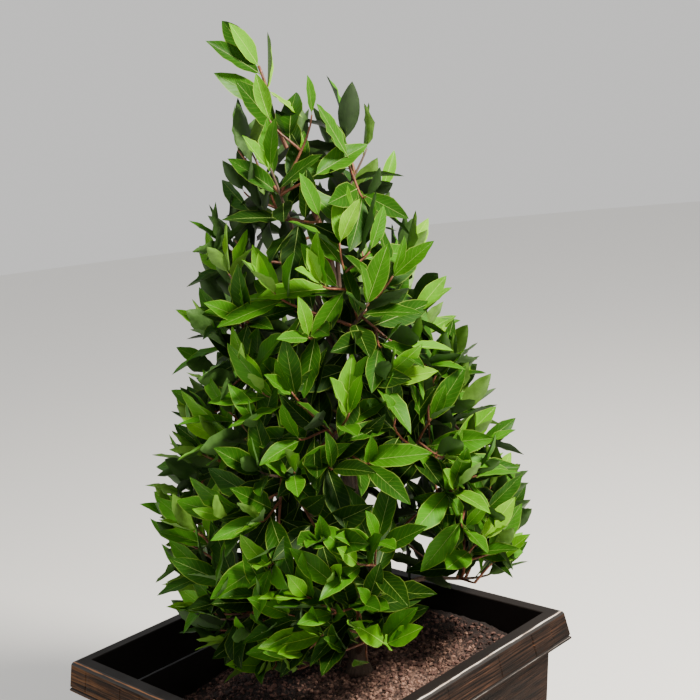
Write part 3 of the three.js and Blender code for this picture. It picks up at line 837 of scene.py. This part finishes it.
def grow_leaves(shoot, count, settings, draws):
    """Leaves round a shoot, small and upright at its tip, larger and spreading behind it. They are
    paler high in the crown and near the tip, partly as younger growth and partly as painted light on
    the crown's lit top, and darker in the crown's depth, partly as older leaves and partly as painted
    shade inside the crown."""
    leaves = []
    allowed = STRAY_REACH if draws.draw() < STRAY_SHARE else 1.0
    turn = draws.draw() * 2 * math.pi
    shoot_tip = shoot.path.at(1)
    allowed *= lerp(1, TOP_REACH, smoothstep(shoot_tip.z, *TOP_HEIGHTS))
    depth = outline_radius(shoot_tip.z) - shoot_tip.xy.length
    # The tone rises with height, partly younger growth and partly painted light on the lit top, and
    # falls deep inside the outline, partly older leaves and partly painted shade
    tone = 1.25 + 1.1 * shoot_tip.z / 0.9 + draws.vary(0, 1.2) - 14 * max(0.0, depth - SHOOT_DEPTH)
    reach = 0.001
    for i in range(count + INNER_LEAVES[shoot.order]):
        share = 1 - reach / shoot.path.length
        if share < LEAFLESS_SHARE:
            break
        reach += lerp(*LEAF_SPACING, clamp(i / 9)) * draws.vary(1, 0.2)
        heading = shoot.path.heading(share)
        side = heading.cross(UP if abs(heading.z) < 0.9 else LEAN).normalized()
        side.rotate(Matrix.Rotation(turn + i * GOLDEN_ANGLE, 3, heading))
        spread = math.radians(lerp(15, 66, clamp(i / 7) ** 0.85) + draws.vary(0, 9))
        size = lerp(0.66, 1.0, clamp(i / 2.5)) * draws.vary(0.97, 0.14)
        along = (heading * math.cos(spread) + side * math.sin(spread)).normalized()
        along = (along + UP * lerp(0.22, -0.12, clamp(i / 8))).normalized()
        base = shoot.path.at(share)
        outwards = Vector((*base.xy, 0))
        outwards = outwards.normalized() if outwards.length > 0.005 else heading
        facing = heading * 0.55 + UP * 0.55 + outwards * 0.45
        facing += Vector([draws.vary(0, 0.28) for _ in range(3)])
        facing = (facing - along * facing.dot(along)).normalized()
        length = settings.leaf_length * size
        half = facing.cross(along) * settings.leaf_width * size * 0.5
        middle = base + along * length * 0.5
        corners = [base, middle + half, middle - half, base + along * length]
        inside = all(spot.xy.length < outline_radius(spot.z) * allowed
                     and spot.z > skirt_height(spot) - SKIRT_SLACK for spot in corners[1:])
        if inside and corners[-1].z < CROWN_TOP and clear_of_planter(corners):
            own_tone = tone + (0.9 if i < 2 else 0) - 0.36 * max(0, i - 3) + draws.vary(0, 0.3)
            leaves.append(Leaf(base, along, facing, size, share, int(clamp(round(own_tone), 0, 4))))
    return leaves


def hangs_bare(shoot):
    """Whether a side shoot comes down to the open side's lower edge, where it would lose its leaves."""
    tip = shoot.path.at(1)
    return shoot.order > 0 and tip.dot(LEAN) > BARE_REACH and tip.z < skirt_height(tip) + BARE_HEIGHT


def leader_leaves(shoot):
    """The leader's few long leaves, each at its own place."""
    leaves = []
    for share, bearing, rise, faces, size, tone in LEADER_LEAVES:
        rise = math.radians(rise)
        along = around_axis(math.cos(rise), math.radians(bearing), math.sin(rise))
        facing = around_axis(0.8, math.radians(faces), 0.5)
        facing = (facing - along * facing.dot(along)).normalized()
        leaves.append(Leaf(shoot.path.at(share), along, facing, size, share, tone))
    return leaves


def grow_plant(settings):
    """All limbs, shoots and leaves, in the plant's own place above the compost."""
    draws = Draws(SOURCE_SEED)
    choices = shoot_choices(draws)
    trunk = smooth_curve([LEAN * lean + UP * height for lean, height in TRUNK_LEAN_BY_HEIGHT])
    masses = place_masses(trunk)
    leader_tip = LEAN * LEADER_LEAN + UP * LEADER_HEIGHT
    leader = SimpleNamespace(ring=SimpleNamespace(name="leader"), site=leader_tip.copy(), bough=None)
    for mass in masses:
        mass.shoots = grow_shoots(mass, [*masses, leader], choices, draws)
    heading = trunk.heading(1)
    stem = stem_path(trunk.at(1) + heading * GAP, heading, leader_tip, heading)
    leader.shoots = [SimpleNamespace(path=stem, thick=TRUNK_TIP_RADIUS, order=3, carrier=None)]
    masses.append(leader)
    for mass in masses:
        mass.leaves = []
        for shoot in mass.shoots:
            if mass is leader:
                leaves = leader_leaves(shoot)
            else:
                leaves = grow_leaves(shoot, mass.ring.leaves, settings, draws)
            if hangs_bare(shoot):
                leaves = []
            shoot.end = max((leaf.share for leaf in leaves), default=0.0)
            mass.leaves += leaves
        for shoot in reversed(mass.shoots):
            if shoot.carrier and shoot.end:
                shoot.carrier.end = max(shoot.carrier.end, shoot.leaves_carrier)
        mass.shoots = [shoot for shoot in mass.shoots if shoot.end]
    return SimpleNamespace(trunk=trunk, masses=masses)


def the_plant():
    """The grown plant, kept so that every operator reads the same one."""
    if not hasattr(the_plant, "grown"):
        the_plant.grown = grow_plant(bpy.context.scene.bay_plant)
    return the_plant.grown


# Leaf shapes

def leaf_form(settings, draws):
    """One leaf's own bends: how far it folds, curls, sways and waves."""
    return SimpleNamespace(
        length=settings.leaf_length, half=settings.leaf_width / 2 * draws.vary(1, 0.1),
        fold=draws.vary(0.30, 0.18), curl=draws.vary(0.07, 0.13), sway=draws.vary(0, 0.06),
        wave=draws.vary(0.11, 0.05), waves=draws.vary(2.9, 0.6),
        phases=(draws.draw() * 6, draws.draw() * 6), thickness=settings.leaf_thickness)


def leaf_spot(form, row_share, side):
    """A point of the blade, by its share of the length and from -1 to 1 across."""
    blade = clamp((row_share - STALK_SHARE) / (1 - STALK_SHARE))
    bulge = math.sin(math.pi * blade ** 0.96) ** 0.72 if 0 < blade < 1 else 0.0
    half = form.half * bulge * (1 - 0.38 * blade ** 5)
    if 0 < row_share < 1:
        half = max(half, LEAST_HALF)
    phase = form.phases[side > 0]
    wave = form.wave * math.sin(2 * math.pi * form.waves * blade + phase) * abs(side) ** 1.5
    half *= 1 + 0.040 * math.sin(2 * math.pi * 2.4 * form.waves * blade + phase) * abs(side)
    reach = form.length * row_share
    sink = form.curl * form.length * blade ** 2
    across = half * side * (1 - 0.3 * form.fold ** 2) + form.sway * form.length * blade ** 2
    return Vector((reach, across, half * (abs(side) * form.fold + wave) - sink))


def leaf_shape(form):
    """A closed thin blade: its upper side is kind 0 and its underside kind 1."""
    bm = bmesh.new()
    rows = len(LEAF_ROWS) - 1

    def place(column, row, sink=0.0):
        spot = leaf_spot(form, LEAF_ROWS[column], (row - 2) / 2)
        if 0 < row < 4 and 0 < column < rows:
            spot.z -= sink
        return spot, (LEAF_ROWS[column], row / 4)

    bent_grid(bm, rows, 4, place)
    under = bent_grid(bm, rows, 4, lambda column, row: place(column, row, form.thickness))
    for face in under:
        face.material_index = 1
    bmesh.ops.reverse_faces(bm, faces=list(under))
    bmesh.ops.remove_doubles(bm, verts=bm.verts[:], dist=MERGE)
    return Shape(bm)


def rib_shape(form):
    """A leaf's midrib and stalk: a slim diamond that shows on both sides of the blade."""
    bm = bmesh.new()

    def place(column, row):
        share = RIB_ROWS[column]
        thick = lerp(0.00080, 0.00038, share)
        angle = row * math.pi / 2
        spot = leaf_spot(form, share, 0)
        spot.y += thick * math.cos(angle)
        spot.z += thick * math.sin(angle) - form.thickness * 0.25
        return spot, (share, row / 4)

    bent_grid(bm, len(RIB_ROWS) - 1, 4, place)
    closed(bm)
    bmesh.ops.recalc_face_normals(bm, faces=bm.faces[:])
    return Shape(bm)


def limb(bm, path, radii, sides, steps, relief=None, end=1.0):
    """Adds a limb along a path, with its place above the plant's foot. It tapers between two radii or
    as a function of the share says."""
    frames = path.frames(steps, end)

    def place(column, row):
        spot, across, other = frames[column]
        share = column / steps
        angle = 2 * math.pi * row / sides
        radius = radii(share) if callable(radii) else lerp(*radii, share)
        if relief:
            radius *= 1 + relief(angle, share * path.length)
        outwards = across * math.cos(angle) + other * math.sin(angle)
        return FOOT + spot + outwards * radius, (share * path.length, row / sides)

    bent_grid(bm, steps, sides, place)


def bark_relief(angle, reach):
    """How far the bark stands out, as a share of the radius: rough, with rings here and there."""
    spot = around_axis(2.2, angle, reach * 26)
    rings = 0.5 * max(0.0, math.sin(reach * 90 + 3 * noise.noise(Vector((reach * 9, 0, 0))))) ** 8
    return 0.10 * noise.fractal(spot, 0.8, 2.0, 4) + 0.05 * rings


# Planter and compost shapes

def hollow_half(height):
    """Half the width of the space inside the walls, below the ledge."""
    return LEDGE_HALF - LEDGE_WIDTH - (LEDGE_HEIGHT - height) * BODY_TAPER


def planter_profile():
    """Half widths and heights from the underside round to the floor inside, each with the finish of the
    stretch that ends there. A corner also says how many steps its stretch has."""
    flared = RIM_HALF + COLLAR_FLARE
    foot_half = BODY_HALF - COLLAR_FOOT * BODY_TAPER
    bead_top = COLLAR_FOOT + BEAD_HEIGHT
    corners = [
        (0.0, 0.0, 1, PLAIN),
        (foot_half - FOOT_ROUNDING, 0.0, 1, PLAIN),
        (foot_half, FOOT_ROUNDING, 2, RUBBED),
        (BODY_HALF, COLLAR_FOOT, 70, RUBBED),
        (flared - 3 * BEAD, COLLAR_FOOT, 3, PLAIN),
        (flared + BEAD, COLLAR_FOOT + 2 * BEAD, 2, RUBBED),
        (flared + BEAD, bead_top - BEAD, 2, RUBBED),
        (flared + 0.3 * BEAD, bead_top, 1, WORN_AND_HIGHLIT_BEAD),
        (flared - GROOVE_DEPTH, bead_top + GROOVE_DEPTH, 1, PLAIN),
        (flared, BAND_FOOT, 1, RUBBED),
        (RIM_HALF + 0.0005, PLANTER_HEIGHT - RIM_ROUNDING, 24, RUBBED),
    ]
    for step in range(1, 5):
        angle = step * math.pi / 8
        corners.append((RIM_HALF - RIM_ROUNDING * (1 - math.cos(angle)),
                        PLANTER_HEIGHT - RIM_ROUNDING * (1 - math.sin(angle)), 1, WORN_AND_HIGHLIT_EDGE))
    corners += [
        (INNER_HALF + 0.001, PLANTER_HEIGHT, 4, PLAIN),
        (INNER_HALF, PLANTER_HEIGHT - 0.001, 1, PLAIN),
        (LEDGE_HALF, LEDGE_HEIGHT, 6, PLAIN),
        # The ledge's top, pale grey as a painted sheen
        (LEDGE_HALF - LEDGE_WIDTH * 0.8, LEDGE_HEIGHT + 0.0002, 1, LEDGE_SHEEN),
        (LEDGE_HALF - LEDGE_WIDTH, LEDGE_HEIGHT - 0.0010, 1, LEDGE_SHEEN),
        (hollow_half(WALL), WALL, 6, PLAIN),
        (0.0, WALL, 1, PLAIN),
    ]
    rows = [(0.0, 0.0, PLAIN)]
    for (half, height, _, _), (next_half, next_height, steps, kind) in zip(corners, corners[1:]):
        for step in range(1, steps + 1):
            share = step / steps
            rows.append((lerp(half, next_half, share), lerp(height, next_height, share), kind))
    return rows


def embossing(settings, share, height, side):
    """How far the grain, the blocks and the seams stand out at a place on an outer wall."""
    along = share * 2 * RIM_HALF
    block = sum(share > end for end in BLOCK_ENDS)
    in_band = BAND_FOOT - HAIR < height < PLANTER_HEIGHT - RIM_ROUNDING - HAIR
    grain = noise.noise(Vector((along * 11 + side * 31, height * 240, block * in_band * 7.3)))
    threads = noise.noise(Vector((along * 60, height * 700, side)))
    depth = settings.grain_depth * (1.6 * grain + 0.4 * threads)
    if in_band:
        nearest = min(abs(share - end) for end in BLOCK_ENDS)
        depth += 0.0003 * math.sin(block * 2.4 + side)
        depth -= settings.groove_depth * (nearest < SEAM / 2)
    return depth * smoothstep(min(along, 2 * RIM_HALF - along), 0.0, 0.006)


def soil_height(x, y):
    """The compost's surface: level round the trunk, then sloping, with lumps and clods."""
    drop = SOIL_LEFT_DROP * smoothstep(-x / INNER_HALF, 0.4, 1)
    drop += SOIL_FRONT_DROP * smoothstep(-y / INNER_HALF, 0.4, 1)
    drop += SOIL_BACK_DROP * smoothstep(y / INNER_HALF, 0.4, 1)
    mound = SOIL_LEVEL + SOIL_SLOPE * (x - FOOT.x) - drop
    from_foot = math.hypot(x - FOOT.x, y - FOOT.y)
    height = lerp(SOIL_LEVEL, mound, smoothstep(from_foot, SOIL_FLAT_RADIUS, 2 * SOIL_FLAT_RADIUS))
    spot = Vector((x, y, 0))
    lumps = noise.fractal(spot * 34, 0.9, 2.1, 5)
    clods = abs(noise.noise(spot * 115)) + 0.5 * abs(noise.noise(spot * 260))
    return height + 0.0028 * lumps + 0.0032 * clods - 0.001


def crumb_shape(draws):
    bm = bmesh.new()
    bmesh.ops.create_icosphere(bm, subdivisions=1, radius=1.0)
    for vert in bm.verts:
        vert.co *= draws.vary(0.9, 0.42)
    return Shape(bm)


# Operators

class BAY_OT_planter(bpy.types.Operator):
    """Build the square moulded planter with its embossed grain"""
    bl_idname = "bay.planter"
    bl_label = "Planter"

    def execute(self, context):
        settings = context.scene.bay_planter
        rows = planter_profile()
        reaches = [0.0]
        for (half, height, _), (next_half, next_height, _) in zip(rows, rows[1:]):
            reaches.append(reaches[-1] + math.hypot(next_half - half, next_height - height))
        shares = {step / SIDE_STEPS for step in range(SIDE_STEPS + 1)}
        shares |= {end + offset for end in BLOCK_ENDS for offset in (-SEAM, 0, SEAM)}
        shares = sorted(shares)
        bm = bmesh.new()
        for side in range(4):
            turn = Matrix.Rotation(side * math.pi / 2, 3, "Z")

            def place(column, row, side=side, turn=turn):
                half, height, _ = rows[row]
                share = shares[column]
                is_outside = reaches[row] < reaches[-1] / 2 and half > BODY_HALF - 0.025
                stands = 0.0
                if is_outside and FOOT_ROUNDING < height < PLANTER_HEIGHT - RIM_ROUNDING - HAIR:
                    stands = embossing(settings, share, height, side)
                spot = turn @ Vector((half * (2 * share - 1), -half - stands, height))
                return spot, (side * MAP_STEP + share * 2 * half, reaches[row])

            faces = bent_grid(bm, len(shares) - 1, len(rows) - 1, place)
            map_layer = bm.loops.layers.uv.active
            for face in faces:
                along, reach = (sum(loop[map_layer].uv[axis] for loop in face.loops) / len(face.loops)
                                for axis in (0, 1))
                half, height, kind = rows[int(np.searchsorted(reaches, reach))]
                past = (along - side * MAP_STEP) / (2 * half) if half else 0
                in_seam = any(end < past < end + SEAM for end in BLOCK_ENDS)
                is_seam = in_seam and kind == RUBBED and height > BAND_FOOT + 0.003
                face.material_index = WORN_SEAM if is_seam else kind
        edges = [reach for reach, (_, _, kind) in zip(reaches, rows) if kind == WORN_AND_HIGHLIT_EDGE]
        beads = [reach for reach, (_, _, kind) in zip(reaches, rows) if kind == WORN_AND_HIGHLIT_BEAD]
        edge = sum(edges) / len(edges)
        finishes = [rubbed_moulding("rubbed_moulding", settings, rub=0.6),
                    worn_edge("worn_edge", settings, middle=edge, reach=0.0014, shine=1.0),
                    inner_moulding("inner_moulding", settings.charcoal),
                    # The bead's line: worn copper, with a faint painted highlight on the front side
                    worn_edge("worn_bead", settings, middle=beads[0], reach=0.0006, shine=0.22),
                    inner_moulding("ledge", settings.ledge),
                    rubbed_moulding("worn_seam", settings, rub=4.0)]
        piece_of(mesh_of("planter_moulding", bm, sharp=32), finishes, ["planter"])
        return {"FINISHED"}


class BAY_OT_compost(bpy.types.Operator):
    """Build the crumbly compost with its loose crumbs and pale bits"""
    bl_idname = "bay.compost"
    bl_label = "Compost"

    def execute(self, context):
        settings = context.scene.bay_compost
        draws = Draws(CRUMB_SEED)
        bm = bmesh.new()

        def place(column, row):
            """The surface, with one more row all round for the foot of its walls."""
            on_surface = [clamp(step - 1, 0, SOIL_CELLS) for step in (column, row)]
            x, y = (2 * step / SOIL_CELLS - 1 for step in on_surface)
            wide = hollow_half(SOIL_LEVEL)
            height = soil_height(x * wide, y * wide)
            half = hollow_half(height) - GAP
            if on_surface != [column - 1, row - 1]:
                half, height = half * 0.99, SOIL_LEVEL - SOIL_DEPTH
            return Vector((x * half, y * half, height)), (x, y)

        bent_grid(bm, SOIL_CELLS + 2, SOIL_CELLS + 2, place)
        closed(bm)
        piece_of(mesh_of("compost_surface", bm), [damp_compost(settings)], ["compost"])

        shapes = [crumb_shape(draws) for _ in range(CRUMB_SHAPES)]
        copies = []
        reach = hollow_half(SOIL_LEVEL) - 0.008
        for number in range(settings.crumbs):
            x, y = draws.vary(0, reach), draws.vary(0, reach)
            if math.hypot(x - FOOT.x, y - FOOT.y) < TRUNK_RADIUS + ROOT_FLARE + 0.003:
                continue
            is_pale = number % PALE_EVERY == 0
            size = settings.crumb_size * (0.36 + 1.3 * draws.draw() ** 2.3) * (0.5 if is_pale else 1)
            turn = Matrix.Rotation(draws.draw() * FULL_TURN, 3, "Z")
            if number % STRAW_EVERY == 0:
                turn = turn @ Matrix.Diagonal((4.5, 0.5, 0.5))
            else:
                turn = turn @ Matrix.Rotation(draws.draw() * FULL_TURN, 3, "X")
                turn = turn @ Matrix.Diagonal((1.0, draws.vary(0.8, 0.2), draws.vary(0.65, 0.2)))
            spot = Vector((x, y, soil_height(x, y) + size * draws.vary(0.35, 0.2)))
            # Crumbs round the same spot are more often pale: partly dried compost, partly a painted
            # pool of light
            away = math.hypot(x - DRY_AND_LIT_SPOT.x, y - DRY_AND_LIT_SPOT.y)
            dry_and_lit_share = 1 - smoothstep(away, 0.5 * DRY_AND_LIT_RADIUS, 1.3 * DRY_AND_LIT_RADIUS)
            kind = 3 if is_pale else int(draws.draw() < 0.5) + int(draws.draw() < dry_and_lit_share)
            copies.append((draws.pick(shapes), np.array(turn) * size, spot, [kind]))
        finishes = [crumb_finish("dark_crumb", settings.dark),
                    crumb_finish("warm_crumb", settings.warm),
                    crumb_finish("dry_crumb", settings.dry),
                    crumb_finish("pale_bit", settings.pale)]
        piece_of(joined_copies("compost_crumbs", copies, sharp=20), finishes)
        return {"FINISHED"}


class BAY_OT_limbs(bpy.types.Operator):
    """Build the trunk and boughs with their bark's relief"""
    bl_idname = "bay.limbs"
    bl_label = "Trunk and boughs"

    def execute(self, context):
        settings = context.scene.bay_plant
        plant = the_plant()
        trunk = plant.trunk
        bm = bmesh.new()
        limb(bm, trunk, lambda share: trunk_radius(share, trunk.length), sides=22, steps=150,
             relief=bark_relief)
        for vert in bm.verts:
            if vert.co.z < SOIL_LEVEL + 0.003:
                vert.co.z = SOIL_LEVEL + GAP
        for mass in plant.masses:
            if mass.bough:
                limb(bm, mass.bough, mass.ring.bough, sides=12, steps=34, relief=bark_relief)
        closed(bm)
        for face in bm.faces:
            face.material_index = int(face.calc_center_median().z > RED_BARK_HEIGHT)
        nodes = [node for node in NODES if node == "trunk" or node.startswith("bough_")]
        finishes = [bark_finish("bark", settings.bark, roughness=0.72),
                    bark_finish("red_bark", settings.red_bark, roughness=0.6)]
        piece_of(mesh_of("trunk_and_boughs", bm), finishes, nodes)
        return {"FINISHED"}


class BAY_OT_shoots(bpy.types.Operator):
    """Build the stems and shoots that carry the leaves"""
    bl_idname = "bay.shoots"
    bl_label = "Shoots"

    def execute(self, context):
        settings = context.scene.bay_plant
        stem_bark = bark_finish("stem_bark", settings.bark, roughness=0.66)
        shoot_bark = bark_finish("shoot_bark", settings.shoot, roughness=0.5)
        self.join("stems", stem_bark, sides=8, steps=14)
        self.join("shoots", shoot_bark, sides=6, steps=8)
        return {"FINISHED"}

    @staticmethod
    def join(name, finish, sides, steps):
        bm = bmesh.new()
        for mass in the_plant().masses:
            thin = LEADER_TIP_RADIUS if mass.ring.name == "leader" else SHOOT_TIP_RADIUS
            for shoot in mass.shoots:
                if (shoot.order == 0) == (name == "stems"):
                    limb(bm, shoot.path, (shoot.thick, thin), sides, steps, end=shoot.end)
        closed(bm)
        piece_of(mesh_of(name, bm), [finish])


class BAY_OT_leaves(bpy.types.Operator):
    """Build the leaves and their midribs, ring by ring"""
    bl_idname = "bay.leaves"
    bl_label = "Leaves"

    def execute(self, context):
        settings = context.scene.bay_plant
        draws = Draws(LEAF_SEED)
        forms = [leaf_form(settings, draws) for _ in range(LEAF_FORMS)]
        shapes = [(leaf_shape(form), rib_shape(form)) for form in forms]
        finishes = []
        for i, tone in enumerate(TONES):
            age = i / (len(TONES) - 1)
            pale = scaled(settings.rib, lerp(0.35, 1.0, age))
            finishes.append(leaf_finish(f"leaf_{tone}", getattr(settings, tone), lerp(0.05, 0.13, age),
                                        lerp(0.44, 0.29, age), pale))
        # The darkest leaves' underside is darker again: partly painted shade inside the crown
        finishes += [underside_finish("underside_inner", (0.016, 0.042, 0.006)),
                     underside_finish("underside_old", (0.038, 0.098, 0.013)),
                     underside_finish("underside_young", (0.095, 0.215, 0.019))]
        rib_finishes = [underside_finish("rib_old", scaled(settings.rib, 0.5)),
                        underside_finish("rib_young", settings.rib)]
        masses = the_plant().masses
        for ring in (*[ring.name for ring in RINGS], "leader"):
            blade_copies, rib_copies = [], []
            for leaf in [leaf for mass in masses if mass.ring.name == ring for leaf in mass.leaves]:
                blade, rib = draws.pick(shapes)
                across = leaf.facing.cross(leaf.along)
                turn = np.array([leaf.along[:], across[:], leaf.facing[:]]).T * leaf.size
                spot = FOOT + leaf.base
                is_young = int(leaf.tone > 2)
                under = len(TONES) + int(leaf.tone > 0) + is_young
                blade_copies.append((blade, turn, spot, [leaf.tone, under]))
                rib_copies.append((rib, turn, spot, [is_young]))
            nodes = [node for node in NODES if node.startswith(f"foliage_{ring}")]
            piece_of(joined_copies(f"leaves_{ring}", blade_copies, sharp=75), finishes, nodes)
            piece_of(joined_copies(f"ribs_{ring}", rib_copies), rib_finishes)
        return {"FINISHED"}


class BAY_OT_stage(bpy.types.Operator):
    """Set up the floor, the lights and the camera"""
    bl_idname = "bay.stage"
    bl_label = "Floor, lights and camera"

    def execute(self, context):
        settings = context.scene.bay_studio
        scene = context.scene
        bm = bmesh.new()
        bmesh.ops.create_circle(bm, cap_ends=True, segments=96, radius=FLOOR_RADIUS)
        mesh = bpy.data.meshes.new("floor")
        bm.to_mesh(mesh)
        bm.free()
        mesh.materials.append(Finish("floor", roughness=0.85).set(base_color=settings.floor))
        self.linked("floor", mesh)

        world = bpy.data.worlds.new("studio")
        world.use_nodes = True
        background = world.node_tree.nodes["Background"]
        background.inputs["Color"].default_value = (1.0, 0.99, 0.97, 1)
        background.inputs["Strength"].default_value = settings.sky
        scene.world = world

        self.lamp("key", (1.42, 1.72, 1.12), settings.key, size=0.55, colour=(1.0, 0.94, 0.83))
        self.lamp("fill", (-1.9, 0.7, 1.2), settings.fill, size=1.6, colour=(0.90, 0.95, 1.0))

        camera_data = bpy.data.cameras.new("camera")
        camera_data.sensor_width = SENSOR
        camera_data.lens = SENSOR * CAMERA_FOCAL_PIXELS / PICTURE_PIXELS
        camera = self.linked("camera", camera_data)
        axes = Matrix((CAMERA_RIGHT, CAMERA_UP, -CAMERA_AHEAD)).transposed().to_4x4()
        camera.matrix_world = Matrix.Translation(CAMERA_PLACE) @ axes
        scene.camera = camera
        return {"FINISHED"}

    @staticmethod
    def linked(name, data):
        made = bpy.data.objects.new(name, data)
        bpy.context.scene.collection.objects.link(made)
        return made

    def lamp(self, name, place, power, size, colour):
        """A round light turned to the crown. Its place is to the right of the crown's middle, above it
        and towards the camera."""
        right, above, nearer = place
        middle = FOOT + UP * CROWN_MIDDLE
        data = bpy.data.lights.new(name, "AREA")
        data.energy = power
        data.shape = "DISK"
        data.size = size
        data.color = colour
        lamp = self.linked(name, data)
        lamp.location = middle + CAMERA_RIGHT * right + UP * above - CAMERA_AHEAD * nearer
        lamp.rotation_mode = "QUATERNION"
        lamp.rotation_quaternion = (middle - lamp.location).to_track_quat("-Z", "Y")


OPERATORS = (BAY_OT_planter, BAY_OT_compost, BAY_OT_limbs, BAY_OT_shoots, BAY_OT_leaves, BAY_OT_stage)
SETTINGS = {
    "bay_planter": PlanterSettings,
    "bay_compost": CompostSettings,
    "bay_plant": PlantSettings,
    "bay_studio": StudioSettings,
}


class BAY_PT_panel(bpy.types.Panel):
    """Lists the pieces of the bay and its planter"""
    bl_idname = "BAY_PT_panel"
    bl_label = "Bay Pyramid"
    bl_space_type = "VIEW_3D"
    bl_region_type = "UI"
    bl_category = "Bay Pyramid"

    def draw(self, context):
        for name, group in SETTINGS.items():
            box = self.layout.box()
            for key in group.__annotations__:
                box.prop(getattr(context.scene, name), key)
        for operator in OPERATORS:
            self.layout.operator(operator.bl_idname)


def register():
    for group in (*SETTINGS.values(), *OPERATORS, BAY_PT_panel):
        bpy.utils.register_class(group)
    for name, group in SETTINGS.items():
        setattr(bpy.types.Scene, name, PointerProperty(type=group))


def unregister():
    for name in SETTINGS:
        delattr(bpy.types.Scene, name)
    for group in (BAY_PT_panel, *OPERATORS, *SETTINGS.values()):
        bpy.utils.unregister_class(group)


def main():
    register()
    bpy.ops.bay.planter()
    bpy.ops.bay.compost()
    bpy.ops.bay.limbs()
    bpy.ops.bay.shoots()
    bpy.ops.bay.leaves()
    bpy.ops.bay.stage()


if __name__ == "__main__":
    main()
